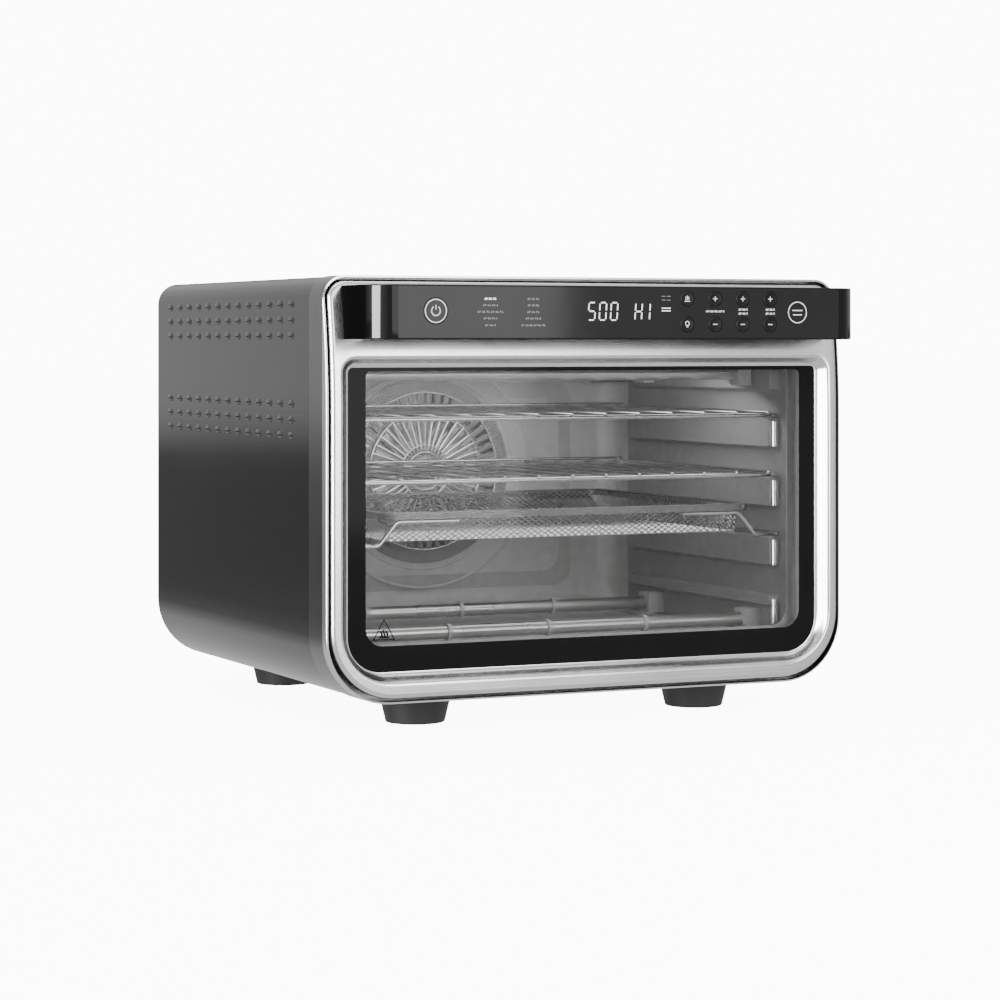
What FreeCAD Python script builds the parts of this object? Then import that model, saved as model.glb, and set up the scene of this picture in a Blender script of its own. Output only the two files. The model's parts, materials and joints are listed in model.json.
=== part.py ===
import FreeCAD, Part
import math
import os

import Sketcher
from FreeCAD import Placement, Rotation, Vector

os.makedirs("parts", exist_ok=True)
doc = FreeCAD.newDocument("CountertopOven")

# Driving sizes in millimetres. Depths are measured back from the front bezel, heights up from the body's
# underside, and widths across the whole oven, unless the word says otherwise.
driving = {
    # case
    "body_width": 434, "body_height": 314, "foot_height": 22, "bezel_depth": 35, "wrap_depth": 348.5,
    "housing_depth": 76.5, "low_corner": 50, "high_corner": 18, "case_sheet": 1, "bezel_wall": 1.6,
    "seam": 0.6, "lean_start": 214, "lean_radius": 455,
    # door
    "door_side_gap": 1.9, "door_lift": 3.8, "door_top_gap": 1.6, "door_proud": 2.5, "door_back": 24.5,
    "door_low_corner": 50, "door_high_corner": 15, "door_skin": 1.2, "door_edge": 3.5,
    "recess_width": 409, "recess_low": 16, "recess_high": 253.3, "recess_low_corner": 38,
    "recess_high_corner": 11, "bevel_run": 7, "glass_depth": 6.5, "glass_sheet": 4, "glass_lip": 2.5,
    "window_width": 367, "window_low": 42, "window_high": 243.5, "window_low_corner": 14,
    "window_high_corner": 4, "inner_glass_sheet": 3, "liner_sheet": 1, "gasket_sheet": 2.1,
    # hinge
    "pivot_behind_face": 4, "pivot_above_edge": 8, "hinge_place": 140, "hinge_nose": 2.4,
    "hinge_arm": 4, "hinge_pin": 1.25, "hinge_notch": 8, "hinge_room": 2.8, "pin_play": 0.08,
    "spring_wire": 0.5,
    # handle and controls
    "handle_reach": 53.2, "handle_width": 405.4, "handle_low": 266.8, "handle_high": 306.4,
    "handle_corner": 19.4, "handle_bar": 20, "handle_leg": 16, "handle_wall": 1.8, "panel_width": 366,
    "panel_sheet": 2, "panel_rim": 1.2, "button_proud": 0.4, "button_play": 0.25, "button_small": 5.8,
    "button_power": 9.5, "button_start": 8.8, "button_first": 51.2, "button_pitch": 23.8,
    "button_high": 297.4, "button_low": 278.2, "button_middle": 287.4, "power_place": 153.9,
    "start_place": 146.4, "button_flange": 0.8, "board_sheet": 1.6,
    # cooking space
    "frame_depth": 28, "frame_sheet": 1.2, "cavity_width": 374, "cavity_low": 30, "cavity_high": 252,
    "cavity_sheet": 1, "pan_depth": 301, "back_depth": 325, "pan_round": 20, "panel_raise": 4,
    "raised_width": 286, "raised_slope": 14, "ridge_front": 42, "ridge_back": 290, "ridge_out": 8,
    "ridge_first": 64, "ridge_pitch": 47, "ridge_tall": 26, "ridge_slope": 3,
    # fan
    "fan_height": 155, "grille_radius": 79, "fan_hole": 71, "wheel_radius": 58, "chamber_radius": 92,
    "shaft_radius": 2.5, "motor_radius": 34,
    # heaters
    "heater_radius": 5.3, "heater_front": 80, "heater_rear": 245, "heater_low": 42.5, "heater_high": 240,
    # racks and basket
    "rack_wire": 1.7, "grid_wire": 1.2, "rack_width": 367.6, "rack_front": 36, "rack_rear": 297,
    "grid_pitch": 28.8, "slide_play": 0.3, "basket_width": 317, "basket_top": 137.7,
    "basket_low": 115, "mesh_sheet": 1.2, "tray_width": 330, "tray_front": 33,
    # rear housing, feet and fixings
    "housing_width": 330, "housing_low": 60, "housing_high": 290, "housing_wall": 2, "housing_corner": 20,
    "housing_round": 10,
    "panel_place": 380.5, "gland_place": 190, "gland_height": 58, "gland_bore": 3.6,
    "foot_top": 27, "foot_bottom": 22.5, "foot_side": 120, "foot_front": 62, "foot_rear": 339,
    "screw_head": 4, "screw_tall": 2.4, "screw_shank": 2, "screw_long": 9,
}

sheet = doc.addObject("Spreadsheet::Sheet", "Sizes")
for row, (word, value) in enumerate(driving.items(), 1):
    sheet.set(f"A{row}", word)
    sheet.set(f"B{row}", str(value))
    sheet.setAlias(f"B{row}", word)
doc.recompute()


class Size:
    """A number that remembers the sheet formula it comes from, so that it can be bound to a property."""

    def __init__(self, formula, number):
        self.formula = formula
        self.number = number

    def __add__(self, other):
        return joined(self, "+", other, self.number + float(other))

    def __sub__(self, other):
        return joined(self, "-", other, self.number - float(other))

    def __mul__(self, other):
        return joined(self, "*", other, self.number * float(other))

    def __truediv__(self, other):
        return joined(self, "/", other, self.number / float(other))

    def __rsub__(self, other):
        return as_size(other) - self

    def __neg__(self):
        return self * -1

    def __float__(self):
        return self.number

    __radd__ = __add__
    __rmul__ = __mul__


def as_size(value):
    return value if isinstance(value, Size) else Size(f"({float(value)})", float(value))


def joined(first, sign, second, number):
    return Size(f"({first.formula} {sign} {as_size(second).formula})", number)


class Sizes:
    """The sheet's cells by name: of.body_width is the cell body_width."""

    def __getattr__(self, word):
        return Size(f"Sizes.{word}", float(sheet.get(word)))


of = Sizes()
sub_parts = []


def bind(thing, path, value):
    """Bind one property of a document object to a sheet formula."""
    thing.setExpression(path, as_size(value).formula)


def named(thing, label):
    """Give a finished sub-part its name, which is also its file's name."""
    thing.Label = label
    sub_parts.append(thing)
    return thing


# The frame: X across, Y back, Z up, with the origin below the middle of the whole oven, on the counter.
total_depth = of.handle_reach + of.button_proud + of.bezel_depth + of.wrap_depth + of.housing_depth
front = of.handle_reach + of.button_proud - total_depth / 2


def back(depth):
    return front + depth


def up(height):
    return of.foot_height + height


half = of.body_width / 2
door_half = half - of.bezel_wall - of.door_side_gap
door_low = up(of.door_lift)
door_high = up(of.body_height - of.bezel_wall - of.door_top_gap)
door_face = back(-of.door_proud)
pivot_y = door_face + of.pivot_behind_face
pivot_z = door_low + of.pivot_above_edge
cavity_half = of.cavity_width / 2
fan_z = up(of.fan_height)
lean_z = up(of.lean_start)
panel_face = back(-of.handle_reach)

# ---------------------------------------------------------------- drawing in sketches
X_AXIS, Y_AXIS, START, END, CENTRE = -1, -2, 1, 2, 3


def hold(sketch, kind, *where):
    """Add one constraint; a last value that is a size is bound to its formula."""
    value = where[-1]
    if isinstance(value, (Size, float)):
        number = sketch.addConstraint(Sketcher.Constraint(kind, *where[:-1], float(value)))
        bind(sketch, f"Constraints[{number}]", value)
    else:
        sketch.addConstraint(Sketcher.Constraint(kind, *where))


def hold_point(sketch, line, point, across, upward):
    """Fix a point at two distances from the sketch's origin."""
    for kind, axis, value in (("DistanceX", Y_AXIS, across), ("DistanceY", X_AXIS, upward)):
        if abs(float(value)) < 1e-9:
            hold(sketch, "PointOnObject", line, point, axis)
        else:
            hold(sketch, kind, X_AXIS, START, line, point, as_size(value))


def rounded(left, right, low, high, low_radius, high_radius):
    """A rectangle whose lower corners share one radius and whose upper corners share another."""

    def draw(sketch):
        corners = [(float(right), float(low)), (float(right), float(high)),
                   (float(left), float(high)), (float(left), float(low))]
        turns = [(-1, 1), (-1, -1), (1, -1), (1, 1)]   # which way each corner's arc centre lies
        radii = [float(low_radius), float(high_radius), float(high_radius), float(low_radius)]
        middles = [(x + turn[0] * radius, y + turn[1] * radius)
                   for (x, y), turn, radius in zip(corners, turns, radii)]
        arcs = []
        for number, ((x, y), radius) in enumerate(zip(middles, radii)):
            first = math.radians(-90 + 90 * number)
            circle = Part.Circle(Vector(x, y, 0), Vector(0, 0, 1), radius)
            arcs.append(Part.ArcOfCircle(circle, first, first + math.pi / 2))
        base = sketch.GeometryCount
        for number, arc in enumerate(arcs):
            before = arcs[number - 1]
            sketch.addGeometry(Part.LineSegment(before.EndPoint, arc.StartPoint))
            sketch.addGeometry(arc)
        for number in range(8):
            hold(sketch, "Tangent", base + number, END, base + (number + 1) % 8, START)
        for number, kind in enumerate(("Horizontal", "Vertical", "Horizontal", "Vertical")):
            hold(sketch, kind, base + 2 * number)
        for number, radius in ((1, low_radius), (3, high_radius), (5, high_radius), (7, low_radius)):
            hold(sketch, "Radius", base + number, as_size(radius))
        hold(sketch, "DistanceY", X_AXIS, START, base, START, as_size(low))
        hold(sketch, "DistanceX", X_AXIS, START, base + 2, START, as_size(right))
        hold(sketch, "DistanceY", X_AXIS, START, base + 4, START, as_size(high))
        hold(sketch, "DistanceX", X_AXIS, START, base + 6, START, as_size(left))

    return draw


def polygon(*points):
    """A closed outline of straight lines."""

    def draw(sketch):
        base = sketch.GeometryCount
        count = len(points)
        flat = [Vector(float(x), float(y), 0) for x, y in points]
        for number in range(count):
            sketch.addGeometry(Part.LineSegment(flat[number], flat[(number + 1) % count]))
        for number, (x, y) in enumerate(points):
            hold(sketch, "Coincident", base + number, END, base + (number + 1) % count, START)
            hold_point(sketch, base + number, START, x, y)

    return draw


def rectangle(left, right, low, high):
    return polygon((left, low), (right, low), (right, high), (left, high))


def circle(across, upward, radius):

    def draw(sketch):
        place = Vector(float(across), float(upward), 0)
        number = sketch.addGeometry(Part.Circle(place, Vector(0, 0, 1), float(radius)))
        hold(sketch, "Radius", number, as_size(radius))
        hold_point(sketch, number, CENTRE, across, upward)

    return draw


def leaning(face, low, high, far):
    """The region between the front's leaning arc and an upright line at far, seen from the side."""

    def draw(sketch):
        radius = of.lean_radius
        middle = face + radius

        def on_arc(height):
            rise = float(height) - float(lean_z)
            return Vector(float(middle) - math.sqrt(float(radius) ** 2 - rise ** 2), float(height), 0)

        angle = [math.pi - math.asin((float(height) - float(lean_z)) / float(radius))
                 for height in (high, low)]
        whole = Part.Circle(Vector(float(middle), float(lean_z), 0), Vector(0, 0, 1), float(radius))
        corners = [on_arc(low), Vector(float(far), float(low), 0), Vector(float(far), float(high), 0),
                   on_arc(high)]
        arc = sketch.addGeometry(Part.ArcOfCircle(whole, *angle))
        for first, second in zip(corners, corners[1:]):
            sketch.addGeometry(Part.LineSegment(first, second))
        for number in range(4):
            hold(sketch, "Coincident", arc + number, END, arc + (number + 1) % 4, START)
        hold(sketch, "Horizontal", arc + 1)
        hold(sketch, "Vertical", arc + 2)
        hold(sketch, "Horizontal", arc + 3)
        hold_point(sketch, arc, CENTRE, middle, lean_z)
        hold(sketch, "Radius", arc, radius)
        hold(sketch, "DistanceY", X_AXIS, START, arc + 2, START, as_size(low))
        hold(sketch, "DistanceY", X_AXIS, START, arc + 2, END, as_size(high))
        hold(sketch, "DistanceX", X_AXIS, START, arc + 2, START, as_size(far))

    return draw


# ---------------------------------------------------------------- bodies and their features
# Each plane's sign says whether its sketch faces up its axis (1) or down it (-1).
PLANES = {"x": ("YZ_Plane", 1), "y": ("XZ_Plane", -1), "z": ("XY_Plane", 1)}


def new_body(label):
    body = doc.addObject("PartDesign::Body", label)
    if hasattr(body, "AllowCompound"):
        body.AllowCompound = True
    return named(body, label)


def sketch_on(body, axis, level, *drawings):
    """A sketch across the axis, at that level along it."""
    role, sign = PLANES[axis]
    plane = [feature for feature in body.Origin.OriginFeatures if feature.Role == role][0]
    sketch = body.newObject("Sketcher::SketchObject", "Outline")
    sketch.AttachmentSupport = (plane, [""])
    sketch.MapMode = "FlatFace"
    bind(sketch, "AttachmentOffset.Base.z", as_size(level) * sign)
    for draw in drawings:
        draw(sketch)
    sketch.Visibility = False
    return sketch


def settle(body, feature):
    """Make a feature the body's last one, and make sure that it worked."""
    body.Tip = feature
    doc.recompute()
    if "Invalid" in feature.State or "Error" in feature.State:
        raise RuntimeError(f"{feature.Name} failed in {body.Label}: {feature.getStatusString()}")
    return feature


def pad(body, axis, low, high, *drawings):
    """Add material from low to high along the axis."""
    feature = body.newObject("PartDesign::Pad", "Pad")
    feature.Profile = sketch_on(body, axis, low, *drawings)
    bind(feature, "Length", as_size(high) - low)
    feature.Reversed = PLANES[axis][1] < 0
    return settle(body, feature)


def pocket(body, axis, low, high, *drawings):
    """Remove material from low to high along the axis, and make sure that some went."""
    before = body.Shape.Volume
    sign = PLANES[axis][1]
    feature = body.newObject("PartDesign::Pocket", "Pocket")
    feature.Profile = sketch_on(body, axis, high if sign > 0 else low, *drawings)
    bind(feature, "Length", as_size(high) - low)
    settle(body, feature)
    if body.Shape.Volume > before - 1e-3:
        raise RuntimeError(f"a pocket in {body.Label} cut nothing")
    return feature


def loft(body, kind, axis, *sections):
    """Add or remove (kind) a loft through outlines, each given as a level and its drawing."""
    feature = body.newObject(f"PartDesign::{kind}Loft", "Loft")
    sketches = [sketch_on(body, axis, level, drawing) for level, drawing in sections]
    feature.Profile = sketches[0]
    feature.Sections = [(sketch, [""]) for sketch in sketches[1:]]
    return settle(body, feature)


def fillet(body, radius, chosen):
    """Round the edges that chosen picks."""
    base = body.Tip
    names = [f"Edge{number}" for number, edge in enumerate(base.Shape.Edges, 1) if chosen(edge)]
    feature = body.newObject("PartDesign::Fillet", "Fillet")
    feature.Base = (base, names)
    bind(feature, "Radius", radius)
    return settle(body, feature)


def shell(body, axis, level, wall):
    """Hollow a body out inwards, leaving it open at the flat face on that level."""
    base = body.Tip
    part = {"x": 0, "y": 1, "z": 2}[axis]
    names = [f"Face{number}" for number, face in enumerate(base.Shape.Faces, 1)
             if abs(face.CenterOfMass[part] - float(level)) < 1e-3
             and abs(abs(face.normalAt(0, 0)[part]) - 1) < 1e-6]
    feature = body.newObject("PartDesign::Thickness", "Thickness")
    feature.Base = (base, names)
    bind(feature, "Value", wall)
    feature.Reversed = True
    return settle(body, feature)


def in_row(body, feature, axis, length, count):
    """Repeat a feature in a line."""
    pattern = body.newObject("PartDesign::LinearPattern", "Row")
    pattern.Originals = [feature]
    line = [thing for thing in body.Origin.OriginFeatures if thing.Role == f"{axis.upper()}_Axis"][0]
    pattern.Direction = (line, [""])
    bind(pattern, "Length", length)
    pattern.Occurrences = count
    return settle(body, pattern)


def in_ring(body, features, count):
    """Repeat features round the body's own Y axis."""
    pattern = body.newObject("PartDesign::PolarPattern", "Ring")
    pattern.Originals = features
    line = [thing for thing in body.Origin.OriginFeatures if thing.Role == "Y_Axis"][0]
    pattern.Axis = (line, [""])
    pattern.Angle = 360
    pattern.Occurrences = count
    return settle(body, pattern)


def place(thing, x=0, y=0, z=0):
    """Bind where a sub-part stands."""
    for letter, value in zip("xyz", (x, y, z)):
        bind(thing, f"Placement.Base.{letter}", value)


def edge_on(axis, level):
    """Picks the edges that lie wholly on one level of an axis."""
    part = {"x": 0, "y": 1, "z": 2}[axis]

    def chosen(edge):
        box = edge.BoundBox
        low = (box.XMin, box.YMin, box.ZMin)[part]
        high = (box.XMax, box.YMax, box.ZMax)[part]
        return abs(low - float(level)) < 1e-4 and abs(high - float(level)) < 1e-4

    return chosen


# ---------------------------------------------------------------- simple solids and their groups
TURN = {"x": Rotation(Vector(0, 1, 0), 90), "y": Rotation(Vector(1, 0, 0), -90), "z": Rotation()}


def block(x, y, z):
    """A box between two levels on each axis."""
    solid = doc.addObject("Part::Box", "Block")
    for prop, letter, (low, high) in zip(("Length", "Width", "Height"), "xyz", (x, y, z)):
        bind(solid, prop, as_size(high) - low)
        bind(solid, f"Placement.Base.{letter}", low)
    return solid


def rod(axis, start, length, radius):
    """A round bar along an axis from its start point."""
    solid = doc.addObject("Part::Cylinder", "Rod")
    solid.Placement = Placement(Vector(), TURN[axis])
    bind(solid, "Radius", radius)
    bind(solid, "Height", length)
    place(solid, *start)
    return solid


def cut(solid, *tools):
    result = doc.addObject("Part::Cut", "Cut")
    result.Base = solid
    result.Tool = tools[0] if len(tools) == 1 else fused(*tools)
    return result


def fused(*solids):
    result = doc.addObject("Part::MultiFuse", "Fused")
    result.Shapes = list(solids)
    return result


def group(*solids):
    """Separate solids that share one node."""
    result = doc.addObject("Part::Compound", "Group")
    result.Links = list(solids)
    return result


def made(label, shape):
    """A sub-part whose shape is worked out here."""
    feature = doc.addObject("Part::Feature", label)
    feature.Shape = shape
    return named(feature, label)


# ================================================================ case
def case_outline(inset, low_corner=None, high_corner=None):
    """The case's outline seen from the front, drawn inwards by inset."""
    return rounded(inset - half, half - inset, up(inset), up(of.body_height - inset),
                   low_corner or of.low_corner - inset, high_corner or of.high_corner - inset)


screw_bore = of.screw_shank + 0.1
foot_spots = [(side * of.foot_side, depth) for depth in (of.foot_front, of.foot_rear) for side in (-1, 1)]
foot_names = ["foot_front_left", "foot_front_right", "foot_rear_left", "foot_rear_right"]

wrap = new_body("outer_wrap")
wrap_front = back(of.bezel_depth + of.seam)
wrap_back = back(of.bezel_depth + of.wrap_depth)
pad(wrap, "y", wrap_front, wrap_back, case_outline(as_size(0)))
pocket(wrap, "y", wrap_front, wrap_back, case_outline(of.case_sheet))
pocket(wrap, "z", up(-1), up(of.case_sheet + 1),
       *[circle(x, back(depth), screw_bore) for x, depth in foot_spots])

bezel = new_body("front_bezel")
pad(bezel, "y", front, back(of.bezel_depth), case_outline(as_size(0)))
pocket(bezel, "y", front, back(of.bezel_depth), case_outline(of.bezel_wall))
pocket(bezel, "x", -half, half, leaning(front, lean_z, up(of.body_height + 5), front - 20))

frame = new_body("front_frame")
frame_back = back(of.frame_depth + of.frame_sheet)
pad(frame, "y", back(of.frame_depth), frame_back, case_outline(of.bezel_wall + 0.1))
pocket(frame, "y", back(of.frame_depth), frame_back,
       rounded(-cavity_half, cavity_half, up(of.cavity_low), up(of.cavity_high), as_size(8), as_size(8)))
arm_slots = [rectangle(side * of.hinge_place - 3, side * of.hinge_place + 3, pivot_z - 3.5, pivot_z + 3.5)
             for side in (-1, 1)]
pocket(frame, "y", back(of.frame_depth), frame_back, *arm_slots)

# ================================================================ cooking space
ridge_levels = [of.ridge_first + number * of.ridge_pitch for number in range(5)]


def cavity_wall(label, side):
    """A side wall of the cooking space with its stamped rails."""
    wall = new_body(label)
    inner = side * cavity_half
    outer = side * (cavity_half + of.cavity_sheet)
    low, high = (inner, outer) if side > 0 else (outer, inner)
    pad(wall, "x", low, high, rectangle(frame_back, back(of.pan_depth), up(of.cavity_low),
                                        up(of.cavity_high)))
    face = side * (cavity_half - of.ridge_out)
    for number, level in enumerate(ridge_levels):
        top = up(of.cavity_high - 1.4) if number == 4 else up(level)
        bottom = top - (of.ridge_tall - 14.9 if number == 0 else of.ridge_tall)
        ends = (back(of.ridge_front), back(of.ridge_back))
        slope = of.ridge_slope
        wide = rounded(*ends, bottom, top, as_size(5), as_size(5))
        tight = rounded(ends[0] + slope, ends[1] - slope, bottom + slope, top - slope / 2, as_size(3),
                        as_size(3))
        loft(wall, "Additive", "x", (inner, wide), (face, tight))
        sheet_in = of.cavity_sheet
        wide_hollow = rounded(ends[0] + sheet_in, ends[1] - sheet_in, bottom + sheet_in, top - sheet_in,
                              as_size(4), as_size(4))
        tight_hollow = rounded(ends[0] + slope + sheet_in, ends[1] - slope - sheet_in,
                               bottom + slope + sheet_in,
                               top - slope / 2 - sheet_in, as_size(2), as_size(2))
        loft(wall, "Subtractive", "x", (outer, wide_hollow), (face + side * sheet_in, tight_hollow))
    return wall


cavity_wall("cavity_left_wall", -1)
right_wall = cavity_wall("cavity_right_wall", 1)
probe_y = back(of.ridge_back + 5)
probe_z = up(of.heater_high - 8)
pocket(right_wall, "x", cavity_half - 2, cavity_half + 2, circle(probe_y, probe_z, as_size(2.6)))

floor = new_body("cavity_floor")
pad(floor, "z", up(of.cavity_low - of.cavity_sheet), up(of.cavity_low),
    rectangle(-cavity_half, cavity_half, frame_back, back(of.pan_depth)))

lamp_x = of.cavity_width / 2 - 70
lamp_y = back(of.pan_depth - 35)
roof = new_body("cavity_roof")
pad(roof, "z", up(of.cavity_high), up(of.cavity_high + of.cavity_sheet),
    rectangle(-cavity_half - of.cavity_sheet, cavity_half + of.cavity_sheet, frame_back,
              back(of.pan_depth)))
pocket(roof, "z", up(of.cavity_high - 1), up(of.cavity_high + 2), circle(lamp_x, lamp_y, as_size(21)))

pan = new_body("cavity_back_wall")
pan_rear = back(of.back_depth + of.cavity_sheet)


def pan_sections(wall):
    """Outlines that curve in from the cooking space's sides to its back, drawn outwards by wall."""
    sections = []
    for turn in (0, 30, 60, 90):
        inset = of.pan_round * (1 - math.cos(math.radians(turn))) - wall
        depth = back(of.pan_depth) + (of.back_depth - of.pan_depth + wall) * math.sin(math.radians(turn))
        sections.append((depth, rounded(inset - cavity_half, cavity_half - inset,
                                        up(of.cavity_low) + inset,
                                        up(of.cavity_high) - inset, inset + 3, inset + 3)))
    return sections


loft(pan, "Additive", "y", *pan_sections(of.cavity_sheet))
loft(pan, "Subtractive", "y", *pan_sections(as_size(0)))
raised_half = of.raised_width / 2
raised = back(of.back_depth - of.panel_raise)


def raised_outline(inset):
    return rounded(inset - raised_half, raised_half - inset, up(of.cavity_low + 22) + inset,
                   up(of.cavity_high - 22) - inset, as_size(16), as_size(16))


loft(pan, "Additive", "y", (back(of.back_depth + 0.2), raised_outline(as_size(0))),
     (raised, raised_outline(of.raised_slope)))
loft(pan, "Subtractive", "y", (pan_rear, raised_outline(as_size(1.5))),
     (raised + of.cavity_sheet, raised_outline(of.raised_slope + 1.5)))
pocket(pan, "y", back(of.back_depth - 10), pan_rear + 1, circle(as_size(0), fan_z, of.fan_hole))

# ================================================================ fan
grille = new_body("fan_grille")
pad(grille, "y", as_size(-1.2), as_size(0), circle(as_size(0), as_size(0), of.grille_radius))
pad(grille, "y", as_size(-3.2), as_size(-1), circle(as_size(0), as_size(0), as_size(70)))
pad(grille, "y", as_size(-4.6), as_size(-3), circle(as_size(0), as_size(0), as_size(52)))
pocket(grille, "y", as_size(-3.4), as_size(1), circle(as_size(0), as_size(0), as_size(50.8)))
pad(grille, "y", as_size(-4.6), as_size(-3.4), circle(as_size(0), as_size(0), as_size(51.5)))
pocket(grille, "y", as_size(-2), as_size(1), circle(as_size(0), as_size(0), as_size(68.8)))
outer_slot = pocket(grille, "y", as_size(-4), as_size(1), rectangle(-1.7, 1.7, 54.5, 67))
in_ring(grille, [outer_slot], 48)
inner_slot = pocket(grille, "y", as_size(-6), as_size(1),
                    polygon((-0.9, 18.5), (0.9, 18.5), (2.6, 48.5), (-2.6, 48.5)))
in_ring(grille, [inner_slot], 36)
hub_hole = pocket(grille, "y", as_size(-6), as_size(1), circle(as_size(0), as_size(10.5), as_size(1.8)))
in_ring(grille, [hub_hole], 8)
place(grille, y=raised, z=fan_z)

wheel = new_body("fan_wheel")
pad(wheel, "y", as_size(12), as_size(13), circle(as_size(0), as_size(0), of.wheel_radius))
blade = pad(wheel, "y", as_size(0), as_size(12.2), polygon((-0.5, 26), (0.5, 26), (5.5, 57), (4.5, 57)))
in_ring(wheel, [blade], 20)
pad(wheel, "y", as_size(2), as_size(18), circle(as_size(0), as_size(0), as_size(7)))
pocket(wheel, "y", as_size(0), as_size(20), circle(as_size(0), as_size(0), of.shaft_radius))
wheel_y = back(of.back_depth + 4)
place(wheel, y=wheel_y, z=fan_z)

chamber_front = pan_rear
chamber_back = back(of.back_depth + 28)
chamber = new_body("fan_chamber")
pad(chamber, "y", chamber_front, chamber_back, circle(as_size(0), fan_z, of.chamber_radius))
shell(chamber, "y", chamber_front, of.cavity_sheet)
pocket(chamber, "y", chamber_back - 3, chamber_back + 1, circle(as_size(0), fan_z, as_size(5)))

motor_back = chamber_back + 40
motor = new_body("fan_motor")
pad(motor, "y", chamber_back, motor_back, circle(as_size(0), fan_z, of.motor_radius))
fillet(motor, as_size(4), edge_on("y", motor_back))
pad(motor, "y", motor_back - 1, motor_back + 6, circle(as_size(0), fan_z, as_size(9)))
pocket(motor, "y", chamber_back, motor_back + 6, circle(as_size(0), fan_z, of.shaft_radius + of.pin_play))

shaft_start = wheel_y + 1
shaft_end = motor_back + 26
named(rod("y", (as_size(0), shaft_start, fan_z), shaft_end - shaft_start, of.shaft_radius), "motor_shaft")

cooling = new_body("cooling_blade")
pad(cooling, "y", as_size(0), as_size(12), circle(as_size(0), as_size(0), as_size(8)))
vane = pad(cooling, "y", as_size(5), as_size(6.2), polygon((-4, 6), (4, 6), (17, 44), (-9, 46)))
in_ring(cooling, [vane], 6)
pocket(cooling, "y", as_size(-1), as_size(13), circle(as_size(0), as_size(0), of.shaft_radius))
place(cooling, y=motor_back + 10, z=fan_z)

# ================================================================ heaters, lamp, probe, wool, electronics
low_end = cavity_half - 14.3
high_end = cavity_half - 19
heater_rows = (of.heater_front, of.heater_rear)
for label, height, end in (("lower_heaters", of.heater_low, low_end),
                           ("upper_heaters", of.heater_high, high_end)):
    tubes = [rod("x", (-end, back(depth), up(height)), end * 2, of.heater_radius) for depth in heater_rows]
    named(group(*tubes), label)

brackets = []
for depth in heater_rows:
    near, far = back(depth - 9), back(depth + 9)
    for side in (-1, 1):
        low_span = (low_end, cavity_half) if side > 0 else (-cavity_half, -low_end)
        high_span = (high_end, high_end + 10) if side > 0 else (-high_end - 10, -high_end)
        brackets.append(block(low_span, (near, far), (up(34), up(51))))
        brackets.append(block(high_span, (near, far), (up(230), up(of.cavity_high))))
    for across in (-85, 0, 85):
        ring = rod("x", (as_size(across - 1.5), back(depth), up(of.heater_low)), as_size(3),
                   of.heater_radius + 1.3)
        core = rod("x", (as_size(across - 2), back(depth), up(of.heater_low)), as_size(4),
                   of.heater_radius)
        brackets.append(cut(ring, core))
named(group(*brackets), "heater_brackets")

lens = new_body("lamp_lens")
pad(lens, "z", as_size(-3), as_size(2), circle(as_size(0), as_size(0), as_size(20.5)))
fillet(lens, as_size(2.5), edge_on("z", -3))
pad(lens, "z", as_size(1), as_size(3), circle(as_size(0), as_size(0), as_size(24)))
pocket(lens, "z", as_size(-1), as_size(4), circle(as_size(0), as_size(0), as_size(16)))
place(lens, lamp_x, lamp_y, up(of.cavity_high))

bulb = new_body("lamp_bulb")
pad(bulb, "z", as_size(4), as_size(24), circle(as_size(0), as_size(0), as_size(7)))
fillet(bulb, as_size(6), edge_on("z", 4))
pad(bulb, "z", as_size(22), as_size(44), circle(as_size(0), as_size(0), as_size(13)))
place(bulb, lamp_x, lamp_y, up(of.cavity_high))

probe_tip = cavity_half - 40
named(rod("x", (probe_tip, probe_y, probe_z), as_size(55), as_size(2.5)), "temperature_probe")

blanket = new_body("insulation_blanket")
pad(blanket, "z", up(of.cavity_high + 3), up(of.cavity_high + 15),
    rounded(-175, 175, back(45), back(230), as_size(20), as_size(20)))
fillet(blanket, as_size(4), edge_on("z", up(of.cavity_high + 15)))

board = new_body("power_board")
board_x = cavity_half + 14
pad(board, "x", board_x, board_x + of.board_sheet, rectangle(back(110), back(270), up(90), up(210)))
tall_parts = [(120, 145, 100, 130), (155, 175, 100, 118), (155, 175, 130, 148), (190, 215, 100, 150),
              (230, 255, 160, 195)]
pad(board, "x", board_x - 9, board_x + 0.5,
    *[rectangle(back(y0), back(y1), up(z0), up(z1)) for y0, y1, z0, z1 in tall_parts])

# ================================================================ rear panel, housing and cord gland
gland_z = up(of.gland_height)
rear_sheet = 1.2
rear_face = back(of.panel_place + rear_sheet)
screw_spots = [(side * 200, height) for side in (-1, 1) for height in (110, 200, 285)]
screw_spots += [(across, 300) for across in (-110, 0, 110)] + [(across, 14) for across in (-110, 0, 110)]
rear = new_body("rear_panel")
pad(rear, "y", back(of.panel_place), rear_face, case_outline(of.case_sheet + 0.2))
pocket(rear, "y", back(of.panel_place - 1), rear_face + 1, circle(as_size(0), fan_z, as_size(62)),
       circle(of.gland_place, gland_z, as_size(6.6)),
       *[circle(as_size(x), up(height), screw_bore) for x, height in screw_spots])

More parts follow.
